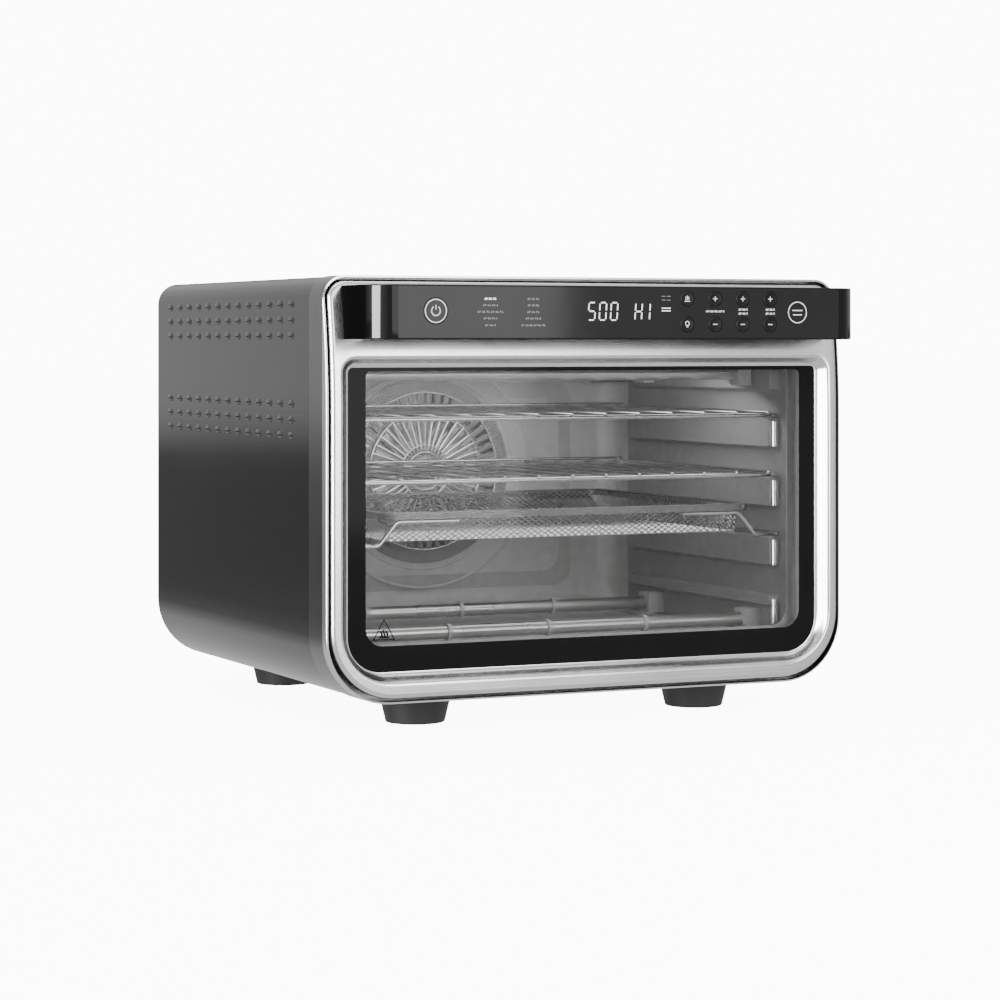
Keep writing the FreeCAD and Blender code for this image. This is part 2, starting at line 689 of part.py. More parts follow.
housing = new_body("rear_housing")
housing_half = of.housing_width / 2
housing_back = back(of.bezel_depth + of.wrap_depth + of.housing_depth)
pad(housing, "y", rear_face, housing_back,
    rounded(-housing_half, housing_half, up(of.housing_low), up(of.housing_high), of.housing_corner,
            of.housing_corner))
housing_inside = housing_back - of.housing_wall
pocket(housing, "y", rear_face, housing_inside,
       rounded(of.housing_wall - housing_half, housing_half - of.housing_wall,
               up(of.housing_low + of.housing_wall), up(of.housing_high - of.housing_wall),
               of.housing_corner - of.housing_wall, of.housing_corner - of.housing_wall))
fillet(housing, of.housing_round - of.housing_wall, edge_on("y", housing_inside))
fillet(housing, of.housing_round, edge_on("y", housing_back))
for column in range(5):
    left = -120 + 50 * column
    slot = pocket(housing, "y", housing_back - 6, housing_back + 1,
                  rounded(as_size(left), as_size(left + 40), up(of.housing_low + 60),
                          up(of.housing_low + 64),
                          as_size(1.9), as_size(1.9)))
    in_row(housing, slot, "z", as_size(117), 14)

gland = new_body("cord_gland")
pad(gland, "y", as_size(-4), as_size(14), circle(as_size(0), as_size(0), as_size(6.5)))
pad(gland, "y", as_size(0), as_size(2.5), circle(as_size(0), as_size(0), as_size(9.5)))
fillet(gland, as_size(1.5), edge_on("y", 14))
pocket(gland, "y", as_size(-5), as_size(15), circle(as_size(0), as_size(0), of.gland_bore))
place(gland, of.gland_place, rear_face, gland_z)

# ================================================================ feet and screws
for label, (x, depth) in zip(foot_names, foot_spots):
    foot = new_body(label)
    revolved = foot.newObject("PartDesign::Revolution", "Revolution")
    revolved.Profile = sketch_on(foot, "y", as_size(0), polygon(
        (screw_bore, of.foot_height), (of.foot_top, of.foot_height), (of.foot_top, of.foot_height - 3),
        (of.foot_bottom, as_size(0)), (as_size(5), as_size(0)), (as_size(5), as_size(9)),
        (screw_bore, as_size(9))))
    upright = [thing for thing in foot.Origin.OriginFeatures if thing.Role == "Z_Axis"][0]
    revolved.ReferenceAxis = (upright, [""])
    revolved.Angle = 360
    foot.Tip = revolved
    doc.recompute()
    fillet(foot, as_size(1.5), lambda edge: edge_on("z", 0)(edge) and edge.Length > 100)
    place(foot, x, back(depth))

screws = []
for x, depth in foot_spots:
    head = rod("z", (x, back(depth), as_size(9) - of.screw_tall), of.screw_tall, of.screw_head)
    shank = rod("z", (x, back(depth), as_size(9)), of.screw_long + 11, of.screw_shank)
    screws.append(fused(head, shank))
for x, height in screw_spots:
    head = rod("y", (as_size(x), rear_face, up(height)), of.screw_tall, of.screw_head)
    shank = rod("y", (as_size(x), rear_face - of.screw_long, up(height)), of.screw_long + 0.5,
                of.screw_shank)
    screws.append(fused(head, shank))
named(group(*screws), "case_screws")

# ================================================================ door
door_back = back(of.door_back)
lean_margin = up(of.body_height + 5)


def door_outline(inset):
    return rounded(inset - door_half, door_half - inset, door_low + inset, door_high - inset,
                   of.door_low_corner - inset, of.door_high_corner - inset)


def recess_outline(inset, low_corner, high_corner):
    """The window recess, drawn inwards by inset, or outwards where inset is negative."""
    wide = of.recess_width / 2
    return rounded(inset - wide, wide - inset, up(of.recess_low) + inset, up(of.recess_high) - inset,
                   low_corner, high_corner)


door = new_body("door_frame")
pad(door, "y", door_face, door_back, door_outline(as_size(0)))
pocket(door, "x", -half, half, leaning(door_face, lean_z, lean_margin, door_face - 20))


def is_front_rim(edge):
    """The outer edge all round the door's front face."""
    middle = edge.valueAt((edge.FirstParameter + edge.LastParameter) / 2)
    rise = max(0.0, middle.z - float(lean_z))
    setback = float(of.lean_radius) - math.sqrt(float(of.lean_radius) ** 2 - rise ** 2)
    box = edge.BoundBox
    crosses = abs(middle.z - float(lean_z)) < 1e-3 and box.XLength > 100
    return abs(middle.y - float(door_face) - setback) < 1e-2 and not crosses


fillet(door, of.door_edge, is_front_rim)
channel_top = up(of.recess_high + of.door_skin)
ring_hollow = rounded(of.door_skin - door_half, door_half - of.door_skin, door_low + of.door_skin,
                      channel_top + 1.5, of.door_low_corner - of.door_skin, as_size(1))
pocket(door, "y", door_face + 2.7, door_back, ring_hollow,
       recess_outline(-of.door_skin, as_size(39), as_size(12)))
pocket(door, "x", of.door_skin - door_half, door_half - of.door_skin,
       leaning(door_face + of.door_skin + 0.6, channel_top + 1, door_high - 13, door_back + 1))
pocket(door, "y", back(of.glass_depth), door_back,
       recess_outline(of.bevel_run - of.glass_lip, as_size(27), as_size(6)))
loft(door, "Subtractive", "y",
     (door_face - 0.1, recess_outline(as_size(0), of.recess_low_corner, of.recess_high_corner)),
     (back(of.glass_depth), recess_outline(of.bevel_run, as_size(25), as_size(4))))
notch_half = of.hinge_notch / 2
for side in (-1, 1):
    for edge_side in (-1, 1):
        middle = side * of.hinge_place + edge_side * (notch_half + 2.75)
        pad(door, "x", middle - 2.25, middle + 2.25,
            rectangle(pivot_y - of.hinge_room, pivot_y + 5, door_low + 0.6, pivot_z + 3.6))
for side in (-1, 1):
    middle = side * of.hinge_place
    pocket(door, "x", middle - notch_half, middle + notch_half,
           rectangle(pivot_y - of.hinge_room, door_back + 1, door_low - 1, pivot_z + 3.4))
    pocket(door, "x", middle - 12, middle + 12, circle(pivot_y, pivot_z, of.hinge_pin))
    spring_near, spring_far = (middle + 9.2, middle + 22) if side > 0 else (middle - 22, middle - 9.2)
    pocket(door, "x", spring_near, spring_far,
           rectangle(pivot_y - of.hinge_room, pivot_y + 5, pivot_z - 3.2, pivot_z + 3.4))

pins = [rod("x", (side * of.hinge_place + (-9 if side > 0 else -21), pivot_y, pivot_z), as_size(30),
            of.hinge_pin)
        for side in (-1, 1)]
named(group(*pins), "hinge_pins")

coils = []
coil_radius = float(of.hinge_pin) + float(of.spring_wire) + 0.35
for side in (-1, 1):
    helix = Part.makeHelix(1.2, 8.4, coil_radius)
    start = Vector(coil_radius, 0, 0)
    section = Part.Wire(Part.makeCircle(float(of.spring_wire), start, Vector(0, 1, 0)))
    coil = Part.Wire(helix).makePipeShell([section], True, True)
    first = float(of.hinge_place) + 10.5
    spot = Vector(first if side > 0 else -first - 8.4, float(pivot_y), float(pivot_z))
    coil.Placement = Placement(spot, TURN["x"])
    coils.append(coil)
made("hinge_springs", Part.Compound(coils))

for label, side in (("hinge_bracket_left", -1), ("hinge_bracket_right", 1)):
    bracket = new_body(label)
    middle = side * of.hinge_place
    arm_half = of.hinge_arm / 2
    pad(bracket, "x", middle - arm_half, middle + arm_half,
        rectangle(pivot_y, frame_back + 0.5, pivot_z - of.hinge_nose, pivot_z + of.hinge_nose))
    pad(bracket, "x", middle - arm_half, middle + arm_half, circle(pivot_y, pivot_z, of.hinge_nose))
    pad(bracket, "y", frame_back, frame_back + 1.5,
        rectangle(middle - 12, middle + 12, pivot_z - 6, pivot_z + 14))
    pocket(bracket, "x", middle - 3, middle + 3, circle(pivot_y, pivot_z, of.hinge_pin + of.pin_play))

outer_glass = new_body("door_glass_outer")
pad(outer_glass, "y", back(of.glass_depth), back(of.glass_depth + of.glass_sheet),
    recess_outline(of.bevel_run - of.glass_lip + 0.5, as_size(26.5), as_size(5.5)))

liner = new_body("door_liner")
liner_back = door_back + of.liner_sheet
window_half = of.window_width / 2
pad(liner, "y", door_back, liner_back, door_outline(as_size(1)))
pocket(liner, "y", door_back, liner_back,
       rounded(-window_half, window_half, up(of.window_low), up(of.window_high), of.window_low_corner,
               of.window_high_corner))
pocket(liner, "y", door_back, liner_back,
       *[rectangle(side * of.hinge_place - notch_half, side * of.hinge_place + notch_half, door_low - 1,
                   pivot_z + 3.4) for side in (-1, 1)])
vent = pocket(liner, "y", door_back, liner_back,
              *[rectangle(side * 207.5 - 1.2, side * 207.5 + 1.2, up(70), up(76)) for side in (-1, 1)])
in_row(liner, vent, "z", as_size(168), 15)

inner_glass = new_body("door_glass_inner")
pad(inner_glass, "y", door_back - of.inner_glass_sheet, door_back,
    rounded(-window_half - 6.5, window_half + 6.5, up(of.window_low - 6), up(of.window_high + 4.5),
            as_size(12),
            as_size(6)))

gasket = new_body("door_gasket")
gasket_back = liner_back + of.gasket_sheet
pad(gasket, "y", liner_back, gasket_back,
    rounded(-cavity_half - 8, cavity_half + 8, up(of.cavity_low - 7), up(of.cavity_high + 7), as_size(15),
            as_size(12)))
pocket(gasket, "y", liner_back, gasket_back,
       rounded(-cavity_half - 3, cavity_half + 3, up(of.cavity_low - 2), up(of.cavity_high + 2),
               as_size(10),
               as_size(7)))

# ================================================================ handle and controls
handle_half = of.handle_width / 2
bar_back = panel_face + of.handle_bar
handle_low = up(of.handle_low)
handle_high = up(of.handle_high)
panel_half = of.panel_width / 2
handle = new_body("handle_housing")
pad(handle, "z", handle_low, handle_high,
    rounded(-handle_half, handle_half, panel_face, back(30), of.handle_corner, as_size(2)))
pocket(handle, "z", handle_low, handle_high,
       rounded(of.handle_leg - handle_half, handle_half - of.handle_leg, bar_back, back(50),
               as_size(8), as_size(2)))
pocket(handle, "x", -half, half, leaning(door_face, handle_low - 3, handle_high + 3, back(50)))
pocket(handle, "y", panel_face, panel_face + of.panel_sheet,
       rectangle(-panel_half, panel_half, handle_low + of.panel_rim, handle_high - of.panel_rim))
pocket(handle, "y", panel_face, bar_back - of.handle_wall,
       rectangle(-panel_half + 3, panel_half - 3, handle_low + of.handle_wall,
                 handle_high - of.handle_wall))

leg_middle = handle_half - of.handle_leg / 2
bolt_radius = as_size(1.75)
bolt_start = back(-14)
bolts = []
for height in (of.handle_low + 10, of.handle_high - 16):
    rise = height - of.lean_start
    setback = of.lean_radius - math.sqrt(float(of.lean_radius) ** 2 - float(rise) ** 2)
    skin_inside = door_face + of.door_skin + 0.7 + setback
    for side in (-1, 1):
        reach = rod("y", (side * leg_middle, bolt_start, up(height)), skin_inside - bolt_start + 0.5,
                    bolt_radius)
        cap = rod("y", (side * leg_middle, skin_inside, up(height)), as_size(2), as_size(3.5))
        bolts.append(fused(reach, cap))
        bore = circle(side * leg_middle, up(height), bolt_radius)
        pocket(handle, "y", bolt_start, back(15), bore)
        pocket(door, "y", door_face - 1, skin_inside + 1,
               circle(side * leg_middle, up(height), bolt_radius + 0.2))
named(group(*bolts), "handle_screws")

small_columns = [of.button_first + number * of.button_pitch for number in range(4)]
rows = (of.button_high, of.button_low)
button_plan = [("button_power", -of.power_place, of.button_middle, of.button_power),
               ("button_start", of.start_place, of.button_middle, of.button_start)]
words = [("button_rack_heat", "button_light"), ("button_function_up", "button_function_down"),
         ("button_time_up", "button_time_down"), ("button_level_up", "button_level_down")]
for column, pair in zip(small_columns, words):
    for label, height in zip(pair, rows):
        button_plan.append((label, column, height, of.button_small))

control = new_body("control_panel")
pad(control, "y", panel_face, panel_face + of.panel_sheet,
    rectangle(-panel_half, panel_half, handle_low + of.panel_rim, handle_high - of.panel_rim))
pocket(control, "y", panel_face, panel_face + of.panel_sheet,
       *[circle(across, up(height), radius + of.button_play) for _, across, height, radius in button_plan])

flange_front = panel_face + of.panel_sheet + 0.3
for label, across, height, radius in button_plan:
    button = new_body(label)
    pad(button, "y", panel_face - of.button_proud, flange_front + 0.5,
        circle(as_size(0), as_size(0), radius))
    fillet(button, as_size(0.3), edge_on("y", panel_face - of.button_proud))
    pad(button, "y", flange_front, flange_front + 1,
        circle(as_size(0), as_size(0), radius + of.button_flange))
    place(button, across, 0, up(height))

switch_face = flange_front + 2.2
board_face = panel_face + 8
circuit = new_body("control_board")
pad(circuit, "y", board_face, board_face + of.board_sheet,
    rectangle(-panel_half + 8, panel_half - 8, handle_low + 4, handle_high - 4))
pad(circuit, "y", switch_face, board_face + 0.4,
    *[rectangle(across - 3, across + 3, up(height) - 3, up(height) + 3)
      for _, across, height, _ in button_plan])

display = new_body("display_module")
pad(display, "y", panel_face + of.panel_sheet + 0.2, board_face,
    rectangle(as_size(-120), as_size(42), handle_low + 6, handle_high - 6))

# ================================================================ racks, basket and crumb tray
rack_half = of.rack_width / 2


def wire(start, end, radius):
    """One straight length of wire."""
    run = Vector(*end) - Vector(*start)
    return Part.makeCylinder(radius, run.Length, Vector(*start), run)


def bent_wire(points, bend, radius):
    """A wire through the points, with a round bend at each one between."""
    points = [Vector(*point) for point in points]
    edges = []
    start = points[0]
    for before, corner, after in zip(points, points[1:], points[2:]):
        inward = (before - corner).normalize()
        outward = (after - corner).normalize()
        half_turn = (math.pi - inward.getAngle(outward)) / 2
        trim = bend * math.tan(half_turn)
        first = corner + inward * trim
        last = corner + outward * trim
        middle_way = (inward + outward).normalize()
        nearest = corner + middle_way * (bend / math.cos(half_turn) - bend)
        edges.append(Part.LineSegment(start, first).toShape())
        edges.append(Part.Arc(first, nearest, last).toShape())
        start = last
    edges.append(Part.LineSegment(start, points[-1]).toShape())
    path = Part.Wire(edges)
    section = Part.Wire(Part.makeCircle(radius, points[0], points[1] - points[0]))
    return path.makePipeShell([section], True, False)


def ring_wire(wide, near, far, height, corner, radius):
    """A closed rectangle of wire with round corners, made of straight runs and quarter rings."""
    pieces = []
    for side in (-1, 1):
        pieces.append(wire((side * wide, near + corner, height), (side * wide, far - corner, height),
                           radius))
    for depth in (near, far):
        pieces.append(wire((corner - wide, depth, height), (wide - corner, depth, height), radius))
    spots = [(wide - corner, far - corner, 0), (corner - wide, far - corner, 90),
             (corner - wide, near + corner, 180), (wide - corner, near + corner, 270)]
    for x, y, turn in spots:
        quarter = Part.makeTorus(corner, radius, Vector(0, 0, 0), Vector(0, 0, 1), -180, 180, 90)
        quarter.Placement = Placement(Vector(x, y, height), Rotation(Vector(0, 0, 1), turn))
        pieces.append(quarter)
    return pieces


def rack_shape(level):
    """A wire rack that lies on the rails of one level."""
    thick = float(of.rack_wire)
    thin = float(of.grid_wire)
    height = float(up(level)) + float(of.slide_play) + thick
    near = float(back(of.rack_front))
    far = float(back(of.rack_rear))
    wide = float(rack_half)
    pieces = ring_wire(wide, near, far, height, 9, thick)
    top = height + thick + thin - 0.7
    for number in range(-6, 7):
        x = number * float(of.grid_pitch)
        pieces.append(wire((x, near - 1.2, top), (x, far + 1.2, top), thin))
        pieces.append(Part.makeSphere(thin, Vector(x, near - 1.2, top)))
    raised = top + thin * 1.7
    pieces.append(wire((-176, far - 6, raised), (176, far - 6, raised), thin))
    return pieces[0].multiFuse(pieces[1:]).removeSplitter()


made("upper_rack", rack_shape(ridge_levels[3]))
made("lower_rack", rack_shape(ridge_levels[2]))

basket_half = of.basket_width / 2
basket_front = of.rack_front - of.rack_wire
basket_rear = of.rack_rear + of.rack_wire
rail_height = float(up(ridge_levels[1])) + float(of.slide_play) + float(of.rack_wire)
rim_low = float(up(of.basket_top)) - 5.3
cross_height = rim_low - float(of.rack_wire)
near = float(back(of.rack_front))
far = float(back(of.rack_rear))
rails = []
for side in (-1, 1):
    outer = side * float(rack_half)
    rails.append(bent_wire([(side * 96, near, cross_height), (side * 146, near, cross_height),
                            (side * 161, near, rail_height), (outer, near, rail_height),
                            (outer, far, rail_height), (side * 161, far, rail_height),
                            (side * 146, far, cross_height), (side * 96, far, cross_height)],
                           6, float(of.rack_wire)))
made("basket_rails", Part.Compound(rails))

rim = new_body("basket_rim")
rim_inset = 7.5
pad(rim, "z", up(of.basket_top - 5.3), up(of.basket_top),
    rounded(-basket_half, basket_half, back(basket_front), back(basket_rear), as_size(14), as_size(14)))
pocket(rim, "z", up(of.basket_top - 6), up(of.basket_top + 1),
       rounded(rim_inset - basket_half, basket_half - rim_inset, back(basket_front + rim_inset),
               back(basket_rear - rim_inset), as_size(9), as_size(9)))

mesh = new_body("basket_mesh")
mesh_half = basket_half - rim_inset
mesh_top = up(of.basket_top - 1)


def mesh_outline(inset):
    return rounded(inset - mesh_half, mesh_half - inset, back(basket_front + rim_inset) + inset,
                   back(basket_rear - rim_inset) - inset, as_size(9), as_size(9))


loft(mesh, "Additive", "z", (up(of.basket_low), mesh_outline(as_size(3))),
     (mesh_top, mesh_outline(as_size(0.2))))
loft(mesh, "Subtractive", "z", (up(of.basket_low) + of.mesh_sheet,
                                mesh_outline(as_size(3) + of.mesh_sheet)),
     (mesh_top + 0.01, mesh_outline(as_size(0.2) + of.mesh_sheet)))

tray = new_body("crumb_tray")
tray_half = of.tray_width / 2
tray_low = up(of.cavity_low + of.slide_play)
pad(tray, "z", tray_low, tray_low + 5.5, rounded(-tray_half, tray_half, back(of.tray_front), back(288),
                                                 as_size(6),
    as_size(6)))
shell(tray, "z", tray_low + 5.5, as_size(1))

# ================================================================ check and write
doc.recompute()
broken = [thing.Label for thing in doc.Objects if "Invalid" in thing.State or "Error" in thing.State]
if broken:
    raise RuntimeError(f"these objects failed: {broken}")
for thing in sub_parts:
    shape = thing.Shape
    if shape.isNull() or not shape.isValid() or not shape.Solids:
        raise RuntimeError(f"{thing.Label} has no valid solid")
    shape.exportStep(f"parts/{thing.Label}.step")
    print(f"{thing.Label:22s} {len(shape.Solids):3d} solids {shape.Volume / 1000:9.2f} cm3")
print(len(sub_parts), "sub-parts written")
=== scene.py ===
import json
import math

import bmesh
import bpy
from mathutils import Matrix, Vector


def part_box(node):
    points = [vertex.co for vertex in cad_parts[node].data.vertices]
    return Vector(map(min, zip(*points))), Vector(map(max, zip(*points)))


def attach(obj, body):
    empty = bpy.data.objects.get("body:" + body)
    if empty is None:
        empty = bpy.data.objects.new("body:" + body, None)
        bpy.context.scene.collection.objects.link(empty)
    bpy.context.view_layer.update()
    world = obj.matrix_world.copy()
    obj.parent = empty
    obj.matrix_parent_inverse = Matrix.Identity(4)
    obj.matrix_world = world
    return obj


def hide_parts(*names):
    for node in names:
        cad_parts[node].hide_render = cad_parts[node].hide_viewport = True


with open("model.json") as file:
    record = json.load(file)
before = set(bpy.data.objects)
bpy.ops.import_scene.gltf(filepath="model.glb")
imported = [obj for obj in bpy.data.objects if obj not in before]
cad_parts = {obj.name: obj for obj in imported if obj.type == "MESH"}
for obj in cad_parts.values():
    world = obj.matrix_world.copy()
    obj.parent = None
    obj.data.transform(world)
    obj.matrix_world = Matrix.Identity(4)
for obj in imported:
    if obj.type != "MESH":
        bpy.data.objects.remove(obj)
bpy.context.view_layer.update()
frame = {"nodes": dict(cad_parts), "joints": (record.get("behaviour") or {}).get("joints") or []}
cadNodes = frame["nodes"]
mm = 0.001
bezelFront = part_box("front_bezel")[0].y
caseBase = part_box("outer_wrap")[0].z
print("frame loaded with", len(cadNodes), "nodes")

# camera: a long lens a little above the oven's middle, looking at its left front corner
cameraSettings = {
    "place": (-1.0081, -2.1851, 0.2888), "turn": -25.138, "lens": 105.97, "shiftY": -0.1604,
}
cameraData = bpy.data.cameras.new("studioCamera")
cameraData.lens = cameraSettings["lens"]
cameraData.sensor_width = 36
cameraData.shift_y = cameraSettings["shiftY"]
cameraData.clip_end = 60
camera = bpy.data.objects.new("studioCamera", cameraData)
camera.location = cameraSettings["place"]
camera.rotation_euler = (math.radians(90), 0, math.radians(cameraSettings["turn"]))
bpy.context.scene.collection.objects.link(camera)
bpy.context.scene.camera = camera


# places: depth back from the bezel's front, height up from the case's underside, both in mm
def back(depth):
    return bezelFront + depth * mm


def up(height):
    return caseBase + height * mm


leanSettings = {"start": 214, "radius": 455}


def leanBack(z):
    # how far the front curves back at this height
    rise = max(0.0, z - up(leanSettings["start"]))
    radius = leanSettings["radius"] * mm
    return radius - math.sqrt(radius * radius - rise * rise)


# finishes
def startFinish(name):
    material = bpy.data.materials.new(name)
    material.use_nodes = True
    tree = material.node_tree
    tree.nodes.clear()
    output = tree.nodes.new("ShaderNodeOutputMaterial")
    shader = tree.nodes.new("ShaderNodeBsdfPrincipled")
    tree.links.new(shader.outputs["BSDF"], output.inputs["Surface"])
    return material, tree, shader


def grain(tree, stretch, size=1.0, detail=3.0, seed=0.0):
    # noise on object coordinates, stretched by a scale along each axis
    place = tree.nodes.new("ShaderNodeTexCoord")
    mapping = tree.nodes.new("ShaderNodeMapping")
    mapping.inputs["Scale"].default_value = stretch
    mapping.inputs["Location"].default_value = (seed, seed * 0.7, seed * 1.3)
    noise = tree.nodes.new("ShaderNodeTexNoise")
    noise.inputs["Scale"].default_value = size
    noise.inputs["Detail"].default_value = detail
    tree.links.new(place.outputs["Object"], mapping.inputs["Vector"])
    tree.links.new(mapping.outputs["Vector"], noise.inputs["Vector"])
    return noise.outputs["Fac"]


def rangeOf(tree, value, first, last, low=0, high=1):
    # maps first to last onto low to high, and holds the ends
    ramp = tree.nodes.new("ShaderNodeMapRange")
    for entry, number in (("From Min", first), ("From Max", last), ("To Min", low), ("To Max", high)):
        ramp.inputs[entry].default_value = number
    tree.links.new(value, ramp.inputs["Value"])
    return ramp.outputs["Result"]


def between(tree, factor, low, high):
    return rangeOf(tree, factor, 0.3, 0.7, low, high)


def partsOf(tree, kind):
    # the coordinates of a point or a direction, one by one
    place = tree.nodes.new("ShaderNodeTexCoord")
    parts = tree.nodes.new("ShaderNodeSeparateXYZ")
    tree.links.new(place.outputs[kind], parts.inputs["Vector"])
    return parts.outputs


def tones(tree, factor, dark, light):
    ramp = tree.nodes.new("ShaderNodeValToRGB")
    ramp.color_ramp.elements[0].position = 0.32
    ramp.color_ramp.elements[0].color = (*dark, 1)
    ramp.color_ramp.elements[1].position = 0.68
    ramp.color_ramp.elements[1].color = (*light, 1)
    tree.links.new(factor, ramp.inputs["Fac"])
    return ramp.outputs["Color"]


def roughen(tree, shader, factor, strength, depth):
    bump = tree.nodes.new("ShaderNodeBump")
    bump.inputs["Strength"].default_value = strength
    bump.inputs["Distance"].default_value = depth
    tree.links.new(factor, bump.inputs["Height"])
    tree.links.new(bump.outputs["Normal"], shader.inputs["Normal"])


def grey(value, warmth=0.0):
    return (value * (1 + warmth), value, value * (1 - warmth))


def metalFinish(name, dark, light, roughLow, roughHigh, stretch, bump=0.12, warmth=0.0, metallic=1.0,
                softAbove=None):
    material, tree, shader = startFinish(name)
    lines = grain(tree, stretch)
    cloud = grain(tree, (9, 9, 9), 1.0, 4.0, 3.1)
    tree.links.new(tones(tree, lines, grey(dark, warmth), grey(light, warmth)),
                   shader.inputs["Base Color"])
    rough = between(tree, cloud, roughLow, roughHigh)
    if softAbove:
        # a rubbed top: a softer shine above the two heights
        first, last, added = softAbove
        total = tree.nodes.new("ShaderNodeMath")
        soft = rangeOf(tree, partsOf(tree, "Object")["Z"], first, last, 0, added)
        tree.links.new(soft, total.inputs[0])
        tree.links.new(rough, total.inputs[1])
        rough = total.outputs["Value"]
    tree.links.new(rough, shader.inputs["Roughness"])
    shader.inputs["Metallic"].default_value = metallic
    roughen(tree, shader, lines, bump, 0.00008)
    return material


def plasticFinish(name, dark, light, roughLow, roughHigh, grainSize=900, bump=0.05, coat=0.0, warmth=0.0,
                  gloss=0.5):
    material, tree, shader = startFinish(name)
    shader.inputs["Specular IOR Level"].default_value = gloss
    fine = grain(tree, (grainSize, grainSize, grainSize), 1.0, 2.0)
    cloud = grain(tree, (14, 14, 14), 1.0, 4.0, 1.7)
    tree.links.new(tones(tree, cloud, grey(dark, warmth), grey(light, warmth)),
                   shader.inputs["Base Color"])
    tree.links.new(between(tree, cloud, roughLow, roughHigh), shader.inputs["Roughness"])
    shader.inputs["Coat Weight"].default_value = coat
    shader.inputs["Coat Roughness"].default_value = 0.04
    roughen(tree, shader, fine, bump, 0.00005)
    return material


def handleFinish(name, shine):
    # black gloss with a painted highlight and painted shade: its shine is set by distance from the
    # middle, dull across the front, brightest round the end corners, dead on the end faces
    material, tree, shader = startFinish(name)
    cloud = grain(tree, (14, 14, 14), 1.0, 4.0, 1.7)
    tree.links.new(tones(tree, cloud, grey(0.008), grey(0.010)), shader.inputs["Base Color"])
    tree.links.new(between(tree, cloud, 0.06, 0.10), shader.inputs["Roughness"])
    away = tree.nodes.new("ShaderNodeMath")
    away.operation = "ABSOLUTE"
    tree.links.new(partsOf(tree, "Object")["X"], away.inputs[0])
    times = tree.nodes.new("ShaderNodeMath")
    times.operation = "MULTIPLY"
    steps = [(shine["dullUntil"], shine["brightFrom"], shine["dull"], shine["bright"]),
             (shine["brightUntil"], shine["deadFrom"], 1, 0)]
    for number, (first, last, low, high) in enumerate(steps):
        share = rangeOf(tree, away.outputs["Value"], first, last, low, high)
        tree.links.new(share, times.inputs[number])
    tree.links.new(times.outputs["Value"], shader.inputs["Specular IOR Level"])
    return material


def glassFinish(name, tone, alpha, rough=0.03):
    material, tree, shader = startFinish(name)
    cloud = grain(tree, (5, 5, 5), 1.0, 3.0, 0.4)
    tree.links.new(tones(tree, cloud, grey(tone), grey(tone * 1.15)), shader.inputs["Base Color"])
    tree.links.new(between(tree, cloud, rough, rough * 1.6), shader.inputs["Roughness"])
    shader.inputs["Alpha"].default_value = alpha
    shader.inputs["IOR"].default_value = 1.5
    return material


def lightFinish(name, tone, strength):
    material, tree, shader = startFinish(name)
    cloud = grain(tree, (60, 60, 60), 1.0, 2.0)
    colour = tones(tree, cloud, grey(tone * 0.94), grey(tone))
    tree.links.new(colour, shader.inputs["Base Color"])
    tree.links.new(colour, shader.inputs["Emission Color"])
    shader.inputs["Emission Strength"].default_value = strength
    shader.inputs["Roughness"].default_value = 0.4
    return material


alongX, alongY = (5, 1100, 1100), (1100, 5, 1100)
# distances from the oven's middle in metres, where the handle's painted highlight on the end corners and
# painted shade on the end faces start and stop
paintedHandleHighlight = {
    "dull": 0.10, "bright": 0.62, "dullUntil": 0.190, "brightFrom": 0.195, "brightUntil": 0.2005,
    "deadFrom": 0.2022,
}
rubbedTop = (0.331, 0.335, 0.32)   # heights where the shine softens, and by how much
# tones, roughness, grain, bump, warmth, metalness, softening
metals = {
    "darkStainless": (0.086, 0.102, 0.06, 0.09, alongY, 0.03, 0.0, 1.0, rubbedTop),
    "bezelStainless": (0.15, 0.18, 0.12, 0.18, alongX, 0.04),
    # a light copy of the stainless: polish plus a painted highlight, on the bezel's front edge and the
    # rail ends
    "rimStainless": (0.62, 0.68, 0.16, 0.22, alongX, 0.03),
    "grilleSheet": (0.16, 0.19, 0.46, 0.56, (140, 140, 140), 0.06, 0.0, 0.7),
    "brightStainless": (0.60, 0.68, 0.20, 0.29, alongX, 0.10),
    "ovenSheet": (0.40, 0.44, 0.52, 0.62, (140, 140, 140), 0.04, 0.0, 0.3),
    "wallSheet": (0.22, 0.25, 0.55, 0.65, (140, 140, 140), 0.04, 0.0, 0.3),
    "galvanisedSheet": (0.40, 0.46, 0.42, 0.50, (70, 70, 70), 0.04),
    "chromedWire": (0.50, 0.56, 0.16, 0.24, (60, 60, 60), 0.04),
    "meshSteel": (0.34, 0.40, 0.22, 0.32, (300, 300, 300), 0.08),
    # the basket rim's band, far darker than its steel so it reads as shade below the bright top edge:
    # painted shade
    "rimSteel": (0.13, 0.16, 0.30, 0.40, (300, 300, 300), 0.05),
    "heaterSheath": (0.42, 0.50, 0.25, 0.36, alongX, 0.08, 0.02),
    "screwSteel": (0.42, 0.50, 0.28, 0.40, (300, 300, 300), 0.06),
    "fanAluminium": (0.55, 0.63, 0.30, 0.42, (200, 200, 200), 0.06),
}
